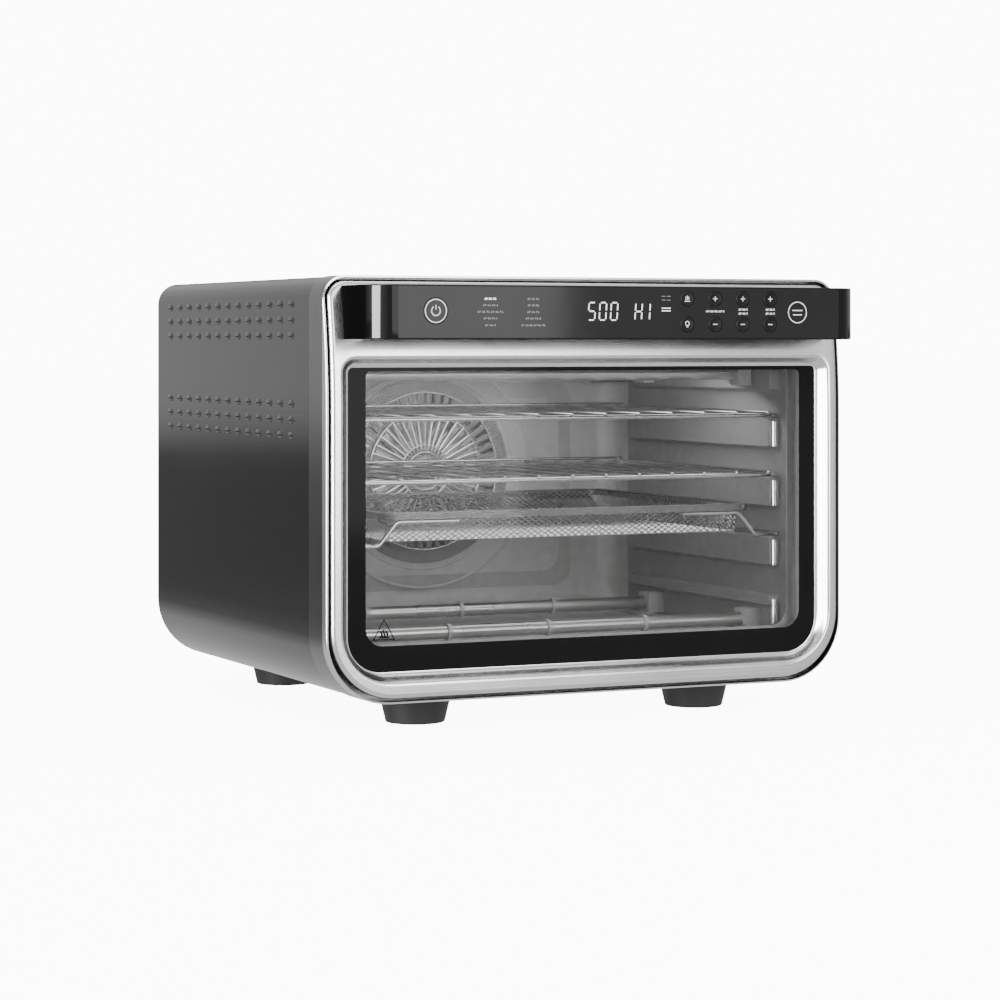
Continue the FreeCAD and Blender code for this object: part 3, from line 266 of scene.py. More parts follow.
# tones, roughness, grain, bump, coat, warmth, gloss
plastics = {
    "controlGloss": (0.018, 0.021, 0.05, 0.09, 700, 0.01, 0.0, 0.0, 0.13),
    "buttonGloss": (0.008, 0.010, 0.16, 0.24, 900, 0.02, 0.0, 0.0, 0.14),
    "borderGloss": (0.008, 0.010, 0.07, 0.12, 700, 0.01, 0.0, 0.0, 0.04),
    # flat black for the vent openings: painted shade
    "ventDark": (0.008, 0.012, 0.5, 0.7, 900, 0.05),
    "footRubber": (0.008, 0.012, 0.48, 0.62, 1400, 0.35),
    "gasketRubber": (0.06, 0.08, 0.45, 0.6, 900, 0.25),
    "blackMoulding": (0.02, 0.03, 0.38, 0.5, 1200, 0.2),
    "powderCoat": (0.020, 0.028, 0.42, 0.55, 1500, 0.4),
    "motorPaint": (0.03, 0.04, 0.35, 0.5, 500, 0.15),
    "ceramicWhite": (0.66, 0.74, 0.45, 0.6, 700, 0.1, 0.0, 0.03),
    "mineralWool": (0.55, 0.75, 0.85, 0.95, 260, 0.9, 0.0, 0.04),
    "boardGreen": (0.05, 0.08, 0.35, 0.5, 400, 0.1, 0.2, -0.5),
}
# tone, how solid, roughness
glasses = {
    "windowGlass": (0.10, 0.07),
    "lampGlass": (0.8, 0.35, 0.08),
}
# tone, glow
lights = {
    "printWhite": (0.75, 0.25),
    "printGrey": (0.22, 0.05),
    "litSegment": (0.85, 1.3),
}
finishes = {"handleGlossPaintedHighlight": handleFinish("handleGlossPaintedHighlight", paintedHandleHighlight)}
for make, table in ((metalFinish, metals), (plasticFinish, plastics), (glassFinish, glasses),
                    (lightFinish, lights)):
    for name, values in table.items():
        finishes[name] = make(name, *values)
print("finishes made:", len(finishes))

nodeFinish = {
    "galvanisedSheet": ["front_frame", "rear_panel", "fan_chamber", "hinge_bracket_left",
                        "hinge_bracket_right"],
    "wallSheet": ["cavity_left_wall", "cavity_right_wall"],
    "ovenSheet": ["cavity_floor", "cavity_roof", "cavity_back_wall",
                  "heater_brackets", "door_liner", "crumb_tray"],
    "grilleSheet": ["fan_grille"],
    "fanAluminium": ["fan_wheel"],
    "motorPaint": ["fan_motor"],
    "screwSteel": ["motor_shaft", "case_screws", "hinge_pins", "hinge_springs", "handle_screws"],
    "blackMoulding": ["cooling_blade", "display_module", "cord_gland"],
    "heaterSheath": ["lower_heaters", "upper_heaters", "temperature_probe"],
    "lampGlass": ["lamp_lens"],
    "ceramicWhite": ["lamp_bulb"],
    "mineralWool": ["insulation_blanket"],
    "boardGreen": ["power_board", "control_board"],
    "powderCoat": ["rear_housing"],
    "footRubber": ["foot_front_left", "foot_front_right", "foot_rear_left", "foot_rear_right"],
    "windowGlass": ["door_glass_outer", "door_glass_inner"],
    "gasketRubber": ["door_gasket"],
    "controlGloss": ["control_panel"],
    "chromedWire": ["upper_rack", "lower_rack", "basket_rails"],
    "rimSteel": ["basket_rim"],
}
for finish, names in nodeFinish.items():
    for name in names:
        node = cadNodes[name]
        if not node.material_slots:
            node.data.materials.append(finishes[finish])
        for spot in node.material_slots:
            spot.material = finishes[finish]
print("carried-over nodes finished")


# building pieces
def finishPiece(name, mesh, finish, body, replaced=(), sharpAngle=38):
    mesh.materials.clear()
    mesh.materials.append(finishes[finish])
    for polygon in mesh.polygons:
        polygon.use_smooth = True
        polygon.material_index = 0
    mesh.set_sharp_from_angle(angle=math.radians(sharpAngle))
    piece = bpy.data.objects.new(name, mesh)
    bpy.context.scene.collection.objects.link(piece)
    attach(piece, body)
    if replaced:
        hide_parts(*replaced)
    return piece


def meshFrom(shape, name):
    bmesh.ops.remove_doubles(shape, verts=shape.verts, dist=1e-6)
    bmesh.ops.recalc_face_normals(shape, faces=shape.faces)
    mesh = bpy.data.meshes.new(name)
    shape.to_mesh(mesh)
    shape.free()
    return mesh


def loopMesh(name, loops, closed=True, capFirst=False, capLast=False):
    # quads between loops with equal numbers of points; closed joins the last loop to the first
    shape = bmesh.new()
    rings = [[shape.verts.new(point) for point in loop] for loop in loops]
    pairs = list(zip(rings, rings[1:]))
    if closed:
        pairs.append((rings[-1], rings[0]))
    for first, second in pairs:
        count = len(first)
        for number in range(count):
            after = (number + 1) % count
            shape.faces.new((first[number], first[after], second[after], second[number]))
    if capFirst:
        shape.faces.new(rings[0])
    if capLast:
        shape.faces.new(rings[-1])
    return meshFrom(shape, name)


def roundedPoints(half, low, high, lowRadius, highRadius, cornerSteps=12, sideSteps=20):
    # an upright rounded rectangle as (x, z) in metres, anticlockwise from the lower left
    points = []
    corners = [(-half + lowRadius, low + lowRadius, lowRadius, 180),
               (half - lowRadius, low + lowRadius, lowRadius, 270),
               (half - highRadius, high - highRadius, highRadius, 0),
               (-half + highRadius, high - highRadius, highRadius, 90)]
    arcs = []
    for x, z, radius, first in corners:
        turns = [math.radians(first + 90 * step / cornerSteps) for step in range(cornerSteps + 1)]
        arcs.append([(x + radius * math.cos(turn), z + radius * math.sin(turn)) for turn in turns])
    for number, arc in enumerate(arcs):
        following = arcs[(number + 1) % 4]
        points += arc
        for step in range(1, sideSteps):
            share = step / sideSteps
            points.append((arc[-1][0] + (following[0][0] - arc[-1][0]) * share,
                           arc[-1][1] + (following[0][1] - arc[-1][1]) * share))
    return [(x * mm, up(z)) for x, z in points]


def ringAt(points, depth, lean=0.0):
    return [Vector((x, back(depth) + lean * leanBack(z), z)) for x, z in points]


def boxMesh(name, low, high):
    shape = bmesh.new()
    bmesh.ops.create_cube(shape, size=1)
    for vertex in shape.verts:
        vertex.co = Vector([low[axis] + (vertex.co[axis] + 0.5) * (high[axis] - low[axis])
                            for axis in range(3)])
    return meshFrom(shape, name)


def carve(mesh, cutters):
    # takes boxes out of a closed mesh
    whole = bpy.data.objects.new("carving", mesh)
    bpy.context.scene.collection.objects.link(whole)
    tools = []
    for cutter in cutters:
        tool = bpy.data.objects.new("cutter", cutter)
        bpy.context.scene.collection.objects.link(tool)
        modifier = whole.modifiers.new("cut", "BOOLEAN")
        modifier.operation = "DIFFERENCE"
        modifier.solver = "EXACT"
        modifier.object = tool
        tools.append(tool)
    graph = bpy.context.evaluated_depsgraph_get()
    result = bpy.data.meshes.new_from_object(whole.evaluated_get(graph))
    for tool in [whole] + tools:
        bpy.data.objects.remove(tool)
    return result


# node trees for wires and repeated shapes
def startTree(name, sockets):
    # geometry in and out, with the named inputs between
    tree = bpy.data.node_groups.new(name, "GeometryNodeTree")
    tree.interface.new_socket("Geometry", in_out="INPUT", socket_type="NodeSocketGeometry")
    for socket, kind in sockets:
        tree.interface.new_socket(socket, in_out="INPUT", socket_type="NodeSocket" + kind)
    tree.interface.new_socket("Geometry", in_out="OUTPUT", socket_type="NodeSocketGeometry")
    return tree, tree.nodes.new("NodeGroupInput"), tree.nodes.new("NodeGroupOutput")


def joinNodes(tree, joins):
    for giver, output, taker, entry in joins:
        tree.links.new(giver.outputs[output], taker.inputs[entry])
    return tree


def wireTree():
    # round wires along edges, which can be flattened and moved
    tree, source, target = startTree("wiresAlongEdges", (
        ("wireRadius", "Float"), ("wireSides", "Int"), ("flatten", "Vector"), ("place", "Vector"),
        ("finish", "Material")))
    curves = tree.nodes.new("GeometryNodeMeshToCurve")
    profile = tree.nodes.new("GeometryNodeCurvePrimitiveCircle")
    sweep = tree.nodes.new("GeometryNodeCurveToMesh")
    sweep.inputs["Fill Caps"].default_value = True
    shift = tree.nodes.new("GeometryNodeTransform")
    real = tree.nodes.new("GeometryNodeRealizeInstances")
    paint = tree.nodes.new("GeometryNodeSetMaterial")
    return joinNodes(tree, (
        (source, "Geometry", curves, "Mesh"), (source, "wireRadius", profile, "Radius"),
        (source, "wireSides", profile, "Resolution"), (curves, "Curve", sweep, "Curve"),
        (profile, "Curve", sweep, "Profile Curve"), (sweep, "Mesh", shift, "Geometry"),
        (source, "flatten", shift, "Scale"), (source, "place", shift, "Translation"),
        (shift, "Geometry", real, "Geometry"), (real, "Geometry", paint, "Geometry"),
        (source, "finish", paint, "Material"), (paint, "Geometry", target, "Geometry")))


def repeatTree():
    # one small shape on every point
    tree, source, target = startTree("shapeOnPoints", (
        ("shape", "Object"), ("shapeScale", "Float"), ("finish", "Material")))
    info = tree.nodes.new("GeometryNodeObjectInfo")
    spread = tree.nodes.new("GeometryNodeInstanceOnPoints")
    real = tree.nodes.new("GeometryNodeRealizeInstances")
    paint = tree.nodes.new("GeometryNodeSetMaterial")
    return joinNodes(tree, (
        (source, "Geometry", spread, "Points"), (source, "shape", info, "Object"),
        (info, "Geometry", spread, "Instance"), (source, "shapeScale", spread, "Scale"),
        (spread, "Instances", real, "Geometry"), (real, "Geometry", paint, "Geometry"),
        (source, "finish", paint, "Material"), (paint, "Geometry", target, "Geometry")))


wires = wireTree()
repeats = repeatTree()


def grow(mesh, tree, values):
    # runs a tree on a mesh and returns the result as a plain mesh
    holder = bpy.data.objects.new("growing", mesh)
    bpy.context.scene.collection.objects.link(holder)
    modifier = holder.modifiers.new("grow", "NODES")
    modifier.node_group = tree
    for item in tree.interface.items_tree:
        if item.item_type == "SOCKET" and item.in_out == "INPUT" and item.name in values:
            modifier[item.identifier] = values[item.name]
    graph = bpy.context.evaluated_depsgraph_get()
    result = bpy.data.meshes.new_from_object(holder.evaluated_get(graph))
    holder.modifiers.clear()
    bpy.data.objects.remove(holder)
    return result


def edgeMesh(name, lines):
    # lines is a list of point lists; a line whose last point is its first is closed
    points, edges = [], []
    for line in lines:
        start = len(points)
        closed = (Vector(line[0]) - Vector(line[-1])).length < 1e-9
        run = line[:-1] if closed else line
        points += [tuple(point) for point in run]
        edges += [(start + number, start + number + 1) for number in range(len(run) - 1)]
        if closed:
            edges.append((start + len(run) - 1, start))
    mesh = bpy.data.meshes.new(name)
    mesh.from_pydata(points, edges, [])
    return mesh


def wirePiece(name, lines, radius, finish, body, sides=8, flatten=(1, 1, 1), place=(0, 0, 0),
              replaced=()):
    values = {"wireRadius": radius * mm, "wireSides": sides, "flatten": flatten, "place": place,
              "finish": finishes[finish]}
    mesh = grow(edgeMesh(name, lines), wires, values)
    return finishPiece(name, mesh, finish, body, replaced, 50)


def repeatPiece(name, points, shapeMesh, finish, body):
    shape = bpy.data.objects.new("shapeToRepeat", shapeMesh)
    bpy.context.scene.collection.objects.link(shape)
    spots = bpy.data.meshes.new(name)
    spots.from_pydata([tuple(point) for point in points], [], [])
    values = {"shape": shape, "shapeScale": 1.0, "finish": finishes[finish]}
    mesh = grow(spots, repeats, values)
    bpy.data.objects.remove(shape)
    return finishPiece(name, mesh, finish, body, (), 50)


# case
caseSettings = {
    "half": 217, "high": 314, "lowRadius": 50, "highRadius": 18, "sheet": 1.0, "skinIn": 0.65,
    "skinRound": 0.35, "wrapFront": 35.7, "wrapBack": 383.5, "wrapSteps": (0.5, 0.9, 2),
    "bezelWall": 1.6, "bezelBack": 35.0, "bezelSteps": (34.5, 34.0, 32, 20), "bezelRound": 1.5,
    "bezelSeam": 0.4, "rimDepth": 8, "rimJoint": 0.05, "rimInside": 0.3,
}


def casePoints(inset):
    c = caseSettings
    return roundedPoints(c["half"] - inset, inset, c["high"] - inset, c["lowRadius"] - inset,
                         c["highRadius"] - inset)


def makeWrap():
    c = caseSettings
    outer, inner = casePoints(c["skinIn"]), casePoints(c["skinIn"] + c["sheet"])
    soft = casePoints(c["skinIn"] + c["skinRound"])
    front, rear = c["wrapFront"], c["wrapBack"]
    depths = [rear - step for step in c["wrapSteps"]] + [(front + rear) / 2]
    depths += [front + step for step in reversed(c["wrapSteps"])]
    loops = [ringAt(inner, rear), ringAt(soft, rear)]
    loops += [ringAt(outer, depth) for depth in depths]
    loops += [ringAt(soft, front), ringAt(inner, front)]
    finishPiece("wrapShell", loopMesh("wrapShell", loops), "darkStainless", "oven", ["outer_wrap"])


def makeBezel():
    c = caseSettings
    wall, size, rim = c["bezelWall"], c["bezelRound"], c["rimDepth"]
    inner = casePoints(wall)
    loops = [ringAt(inner, c["bezelBack"]), ringAt(casePoints(c["bezelSeam"]), c["bezelBack"])]
    for depth in (*c["bezelSteps"], rim + c["rimJoint"]):
        loops.append(ringAt(casePoints(0), depth))
    loops.append(ringAt(inner, rim + c["rimJoint"]))
    finishPiece("bezelShell", loopMesh("bezelShell", loops), "bezelStainless", "oven", ["front_bezel"])
    # the polished edge round its front, in a much lighter steel than the band behind it: partly real
    # polish, partly a painted highlight
    loops = [ringAt(inner, rim), ringAt(casePoints(0), rim)]
    for step in range(7):
        angle = math.radians(90 * step / 6)
        inset = size * (1 - math.cos(angle))
        depth = size * (1 - math.sin(angle))
        loops.append(ringAt(casePoints(inset), depth, 1.0))
    loops.append(ringAt(inner, c["rimInside"], 1.0))
    finishPiece("bezelRim", loopMesh("bezelRim", loops), "rimStainless", "oven", ())


makeWrap()
makeBezel()

ventSettings = {
    "columns": 13, "firstColumn": 72, "lastColumn": 350,
    "groups": [(293.6, 281.9, 270.1), (219.1, 207.3, 195.5)],
    "length": 6.0, "radius": 2.7, "proud": 0.6, "sides": 16,
    "mouthShare": 0.9, "mouthForward": 1.9, "mouthDrop": 0.8,
    # how wide, as a share, and how far out
    "dome": ((1.0, 0.0), (0.86, 0.45), (0.6, 0.85), (0.25, 1.0)),
    "mouth": ((1.0, 0.02), (0.98, 0.1)),
}


def ventDome(side):
    v = ventSettings
    loops = []
    for share, lift in v["dome"]:
        loops.append([Vector((side * lift * v["proud"] * mm,
                              share * v["length"] * mm * math.cos(2 * math.pi * k / v["sides"]),
                              share * v["radius"] * mm * math.sin(2 * math.pi * k / v["sides"])))
                      for k in range(v["sides"])])
    return loopMesh("ventDome", loops, False, True, True)


def ventShadeDisc(side):
    # a dark disc below and in front of each dome, standing in for the shade inside the vent's opening:
    # painted shade
    v = ventSettings
    loops = []
    for share, lift in v["mouth"]:
        loop = []
        for k in range(v["sides"]):
            turn = 2 * math.pi * k / v["sides"]
            deep = share * v["length"] * v["mouthShare"] * math.cos(turn) - v["mouthForward"]
            tall = share * v["radius"] * v["mouthShare"] * math.sin(turn) - v["mouthDrop"]
            loop.append(Vector((side * lift * mm, deep * mm, tall * mm)))
        loops.append(loop)
    return loopMesh("ventShadeDisc", loops, False, True, True)


def makeVents():
    v = ventSettings
    skin = (caseSettings["half"] - caseSettings["skinIn"]) * mm
    pitch = (v["lastColumn"] - v["firstColumn"]) / (v["columns"] - 1)
    for side, word in ((-1, "Left"), (1, "Right")):
        points = [(side * skin, back(v["firstColumn"] + pitch * column), up(height))
                  for group in v["groups"] for height in group for column in range(v["columns"])]
        repeatPiece("ventDomes" + word, points, ventDome(side), "darkStainless", "oven")
        repeatPiece("ventMouths" + word, points, ventShadeDisc(side), "ventDark", "oven")


makeVents()
print("case made")

# door
doorSettings = {
    "half": 213.5, "low": 3.8, "high": 310.8, "lowRadius": 50, "highRadius": 15, "face": -2.5,
    "back": 24.5, "edge": 3.5, "recessHalf": 204.5, "recessLow": 16, "recessHigh": 253.3,
    "recessLowRadius": 38, "recessHighRadius": 11, "recessRound": 2.2, "glassDepth": 6.5, "seat": 4.5,
    "notchPlace": 140, "notchHalf": 4, "notchBefore": 2.8, "notchAbove": 3.4, "notchBack": 30,
    "windowHalf": 183.5, "windowLow": 42, "windowHigh": 243.5, "windowLowRadius": 14,
    "windowHighRadius": 4, "borderInset": 6.9, "borderFront": 0.14, "borderBack": 0.02,
    "sideDepth": 14, "lowShrink": 1.7, "smallest": 1.5, "seatGap": 0.02,
    # how far in from the recess's edge, and how deep, from the face down to the glass
    "slope": ((-1.3, -2.38), (-0.5, -2.0), (0.2, -1.35), (0.8, -0.5), (1.8, 1.1), (3.6, 3.9), (5.0, 5.6),
              (6.0, 6.3), (7.0, 6.45)),
}


def doorPoints(inset):
    d = doorSettings
    return roundedPoints(d["half"] - inset, d["low"] + inset, d["high"] - inset, d["lowRadius"] - inset,
                         d["highRadius"] - inset)


def recessPoints(inset):
    d = doorSettings
    return roundedPoints(d["recessHalf"] - inset, d["recessLow"] + inset, d["recessHigh"] - inset,
                         d["recessLowRadius"] - inset * d["lowShrink"],
                         max(d["smallest"], d["recessHighRadius"] - inset))


def makeDoor():
    d = doorSettings
    face, edge, glass = d["face"], d["edge"], d["glassDepth"]
    loops = [ringAt(recessPoints(d["seat"]), d["back"]), ringAt(doorPoints(0), d["back"]),
             ringAt(doorPoints(0), d["sideDepth"], 0.5)]
    for step in range(9):
        angle = math.radians(90 * step / 8)
        inset = edge * (1 - math.cos(angle))
        loops.append(ringAt(doorPoints(inset), face + edge * (1 - math.sin(angle)), 1.0))
    outerFlat, innerFlat = doorPoints(edge), recessPoints(-d["recessRound"])
    count = 10
    for step in range(1, count + 1):
        share = step / count
        mixed = [(a[0] + (b[0] - a[0]) * share, a[1] + (b[1] - a[1]) * share)
                 for a, b in zip(outerFlat, innerFlat)]
        loops.append(ringAt(mixed, face, 1.0))
    # rounded into the recess, down its slope, and onto the glass
    for inset, depth in d["slope"]:
        share = (glass - depth) / (glass - face)
        loops.append(ringAt(recessPoints(inset), depth, share))
    loops.append(ringAt(recessPoints(inset), glass + d["seatGap"]))
    loops.append(ringAt(recessPoints(d["seat"]), glass + d["seatGap"]))
    mesh = loopMesh("doorShell", loops)
    pivot = next(joint for joint in frame["joints"] if joint["name"] == "door_hinge")["pos_m"]
    cutters = []
    for side in (-1, 1):
        middle = side * d["notchPlace"] * mm
        low = (middle - d["notchHalf"] * mm, pivot[1] - d["notchBefore"] * mm, up(0))
        high = (middle + d["notchHalf"] * mm, back(d["notchBack"]), pivot[2] + d["notchAbove"] * mm)
        cutters.append(boxMesh("notch", low, high))
    shell = carve(mesh, cutters)
    finishPiece("doorShell", shell, "brightStainless", "door", ["door_frame"], 32)


def makeBorder():
    # the black border printed round the clear window
    d = doorSettings
    front, rear = d["glassDepth"] - d["borderFront"], d["glassDepth"] - d["borderBack"]
    window = roundedPoints(d["windowHalf"], d["windowLow"], d["windowHigh"], d["windowLowRadius"],
                           d["windowHighRadius"])
    outer = recessPoints(d["borderInset"])
    loops = [ringAt(outer, front), ringAt(window, front), ringAt(window, rear), ringAt(outer, rear)]
    finishPiece("glassBorder", loopMesh("glassBorder", loops), "borderGloss", "door", ())


makeDoor()
makeBorder()
print("door made")

# handle
handleSettings = {
    "half": 202.7, "reach": -53.2, "bar": 20, "leg": 16, "low": 266.8, "high": 306.4, "corner": 19.4,
    "innerCorner": 8, "edge": 1.3, "panelHalf": 183, "panelRim": 1.2, "panelSheet": 2, "wall": 1.8,
    "legOuter": -18, "legInner": -14, "touch": 0.15, "seatSide": 0.05, "seatTop": 0.02, "hollowSide": 3,
}


def handlePaths():
    h = handleSettings
    outer, inner = [], []
    front = h["reach"]
    steps = 14
    outerMiddle = (h["half"] - h["corner"], front + h["corner"])
    innerMiddle = (h["half"] - h["leg"] - h["innerCorner"], front + h["bar"] + h["innerCorner"])
    for side in (-1, 1):
        legOuter = [(side * h["half"], depth) for depth in (None, h["legOuter"])]
        legInner = [(side * (h["half"] - h["leg"]), depth) for depth in (None, h["legInner"])]
        for step in range(steps + 1):
            turn = math.radians(90 * step / steps)
            legOuter.append((side * (outerMiddle[0] + h["corner"] * math.cos(turn)),
                             outerMiddle[1] - h["corner"] * math.sin(turn)))
            legInner.append((side * (innerMiddle[0] + h["innerCorner"] * math.cos(turn)),
                             innerMiddle[1] - h["innerCorner"] * math.sin(turn)))
        if side > 0:
            legOuter.reverse()
            legInner.reverse()
        outer += legOuter
        inner += legInner
    return outer, inner


def makeHandle():
    h = handleSettings
    outer, inner = handlePaths()
    edge, steps = h["edge"], 5
    section = []   # (distance from one face, which face, height)
    for face, vertical, first in ((0, 1, 180), (1, 1, 90), (1, 0, 0), (0, 0, 270)):
        for step in range(steps + 1):
            turn = math.radians(first - 90 * step / steps)
            across = edge * (1 + math.cos(turn)) if face == 0 else edge * (1 - math.cos(turn))
            height = (h["high"] - edge if vertical else h["low"] + edge) + edge * math.sin(turn)
            section.append((across, face, height))
    loops = []
    for (ox, oy), (ix, iy) in zip(outer, inner):
        loop = []
        for across, face, height in section:
            z = up(height)
            touch = doorSettings["face"] + leanBack(z) / mm + h["touch"]
            a = Vector((ox, touch if oy is None else oy, 0))
            b = Vector((ix, touch if iy is None else iy, 0))
            share = across / (b - a).length
            spot = a.lerp(b, share if face == 0 else 1 - share)
            loop.append(Vector((spot.x * mm, back(spot.y), z)))
        loops.append(loop)
    mesh = loopMesh("handleShell", loops, False, True, True)
    seatHalf, hollowHalf = (h["panelHalf"] + h["seatSide"]) * mm, (h["panelHalf"] - h["hollowSide"]) * mm
    seatLow = h["low"] + h["panelRim"] - h["seatTop"]
    seatHigh = h["high"] - h["panelRim"] + h["seatTop"]
    cutters = [boxMesh("panelSeat", (-seatHalf, back(h["reach"] - 5), up(seatLow)),
                       (seatHalf, back(h["reach"] + h["panelSheet"]), up(seatHigh))),
               boxMesh("hollow", (-hollowHalf, back(h["reach"] - 4), up(h["low"] + h["wall"])),
                       (hollowHalf, back(h["reach"] + h["bar"] - h["wall"]), up(h["high"] - h["wall"])))]
    finishPiece("handleShell", carve(mesh, cutters), "handleGlossPaintedHighlight", "door", ["handle_housing"],
                32)


makeHandle()
print("handle made")

# controls
panelDepth = handleSettings["reach"]
buttonSettings = {
    "small": 5.8, "power": 9.5, "start": 8.8, "columns": (51.2, 75.0, 98.8, 122.6),
    "rows": (297.4, 278.2), "middle": 287.4, "powerPlace": -153.9, "startPlace": 146.4, "proud": 0.32,
    "sides": 48, "smallStroke": 0.33, "largeStroke": 0.42, "markSunk": 0.02, "deep": 3.2,
    "smallDish": 0.12, "largeDish": 0.1,
    # how far in and how far back, round the rim
    "rim": ((0, 0.35), (0.12, 0.12), (0.4, 0), (1.0, 0.04)),
}


def makeButton(node, x, height, radius, dished):
    b = buttonSettings
    front = panelDepth - b["proud"]
    profile = [(radius, panelDepth + b["deep"])]
    profile += [(radius - inset, front + step) for inset, step in b["rim"]]
    profile += [(radius * 0.6, front + dished * 0.8), (radius * 0.25, front + dished)]
    loops = []
    for size, depth in profile:
        loops.append([Vector(((x + size * math.cos(2 * math.pi * k / b["sides"])) * mm, back(depth),
                              up(height) + size * mm * math.sin(2 * math.pi * k / b["sides"])))
                      for k in range(b["sides"])])
    mesh = loopMesh(node + "Cap", loops, False, True, True)
    finish = "buttonGloss" if radius < 7 else "controlGloss"
    return finishPiece(node + "Cap", mesh, finish, node, [node], 50)


def strokePiece(name, lines, radius, depth, finish, body):
    # thin flat strokes printed on an upright face at that depth; points are (x, height) in mm
    flat = [[(x * mm, 0, up(z)) for x, z in line] for line in lines]
    return wirePiece(name, flat, radius, finish, body, 8, (1, 0.14, 1), (0, back(depth), 0))


def arcPoints(x, z, radius, first, last, steps=28):
    turns = [math.radians(first + (last - first) * k / steps) for k in range(steps + 1)]
    return [(x + radius * math.cos(turn), z + radius * math.sin(turn)) for turn in turns]


def ringPoints(x, z, radius, steps=48):
    run = arcPoints(x, z, radius, 0, 360, steps)
    run[-1] = run[0]
    return run


columns, rows = buttonSettings["columns"], buttonSettings["rows"]
smallButtons = [("button_rack_heat", 0, 0), ("button_light", 0, 1), ("button_function_up", 1, 0),
                ("button_function_down", 1, 1), ("button_time_up", 2, 0), ("button_time_down", 2, 1),
                ("button_level_up", 3, 0), ("button_level_down", 3, 1)]
markDepth = panelDepth - buttonSettings["proud"] + buttonSettings["markSunk"]
smallStroke, largeStroke = buttonSettings["smallStroke"], buttonSettings["largeStroke"]
for node, column, row in smallButtons:
    x, z = columns[column], rows[row]
    makeButton(node, x, z, buttonSettings["small"], buttonSettings["smallDish"])
    lines = [[(x - 1.9, z), (x + 1.9, z)]]
    if row == 0:
        lines.append([(x, z - 1.9), (x, z + 1.9)])
    if node == "button_rack_heat":
        lines = [[(x - 2.3, z - 2.0), (x + 2.3, z - 2.0)], [(x - 1.2, z - 1.0), (x - 1.2, z + 1.4)],
                 [(x + 1.2, z - 1.0), (x + 1.2, z + 1.4)], [(x, z - 1.0), (x, z + 2.2)]]
    if node == "button_light":
        lines = [ringPoints(x, z + 0.6, 1.6, 20), [(x - 0.8, z - 1.9), (x + 0.8, z - 1.9)]]
    strokePiece(node + "Mark", lines, smallStroke, markDepth, "printWhite", node)
px, sx, mz = buttonSettings["powerPlace"], buttonSettings["startPlace"], buttonSettings["middle"]
makeButton("button_power", px, mz, buttonSettings["power"], buttonSettings["largeDish"])
makeButton("button_start", sx, mz, buttonSettings["start"], buttonSettings["largeDish"])
powerLines = [ringPoints(px, mz, 8.3), arcPoints(px, mz, 3.4, 125, 415),
              [(px, mz + 1.0), (px, mz + 4.2)]]
startLines = [ringPoints(sx, mz, 7.9), [(sx - 4.6, mz + 1.5), (sx + 4.6, mz + 1.5)],
              [(sx - 3.9, mz - 1.8), (sx + 3.9, mz - 1.8)]]
strokePiece("powerMark", powerLines, largeStroke, markDepth, "printWhite", "button_power")
strokePiece("startMark", startLines, largeStroke, markDepth, "printWhite", "button_start")

displaySettings = {
    "words": [(-110.7, (10, 12.8, 21.5, 11.7, 9.3)), (-76.3, (10.1, 10.1, 10.5, 13, 20.2))],
    "wordRows": (296.3, 291.7, 286.9, 282.2, 277.2), "letter": 1.25, "gap": 0.5,
    "digits": [(-28.5, "5"), (-19.4, "0"), (-10.1, "0"), (10.3, "H"), (17.0, "1")],
    "digitHalf": 2.7, "digitLow": 281.2, "digitHigh": 294.0, "digitGap": 0.75, "slant": 0.07,
    "signLeft": 29.6, "signRight": 37.2, "signBreak": (32.8, 34.0), "litRows": (290.1, 288.2),
    "dimRows": (299.0, 296.2),
    # words beside the buttons: middle, width, heights
    "labels": [(75.0, 16.3, (288,)), (99.0, 8.3, (289.4, 286.4)), (122.6, 8.3, (289.4, 286.4))],
    "digitStroke": 0.46, "litStroke": 0.34, "dimStroke": 0.26, "labelStroke": 0.30, "printed": 0.03,
}
segmentsOf = {"0": "abcdef", "1": "bc", "5": "acdfg", "H": "bcefg"}


def blockWord(middle, width, height):
    # a run of short ticks that stands for a printed word
    d = displaySettings
    count = max(2, round(width / (d["letter"] + d["gap"])))
    step = width / count
    first = middle - width / 2
    lines = []
    for number in range(count):
        x = first + step * number + d["gap"] / 2
        z = height + (0.35 if number % 3 == 1 else -0.3)
        lines.append([(x, z), (x + step - d["gap"], z)])
        stem = x + (0.2 if number % 2 else 0.8)
        lines.append([(stem, height - 0.8), (stem, height + 0.8)])
    return lines


def segmentLines(x, figure):
    d = displaySettings
    half, low, high = d["digitHalf"], d["digitLow"], d["digitHigh"]
    middle = (low + high) / 2
    gap = d["digitGap"]
    ends = {"a": ((-half + gap, high), (half - gap, high)),
            "b": ((half, high - gap), (half, middle + gap)),
            "c": ((half, middle - gap), (half, low + gap)),
            "d": ((-half + gap, low), (half - gap, low)),
            "e": ((-half, middle - gap), (-half, low + gap)),
            "f": ((-half, high - gap), (-half, middle + gap)),
            "g": ((-half + gap, middle), (half - gap, middle))}
    return [[(x + dx + (z - middle) * d["slant"], z) for dx, z in ends[name]]
            for name in segmentsOf[figure]]


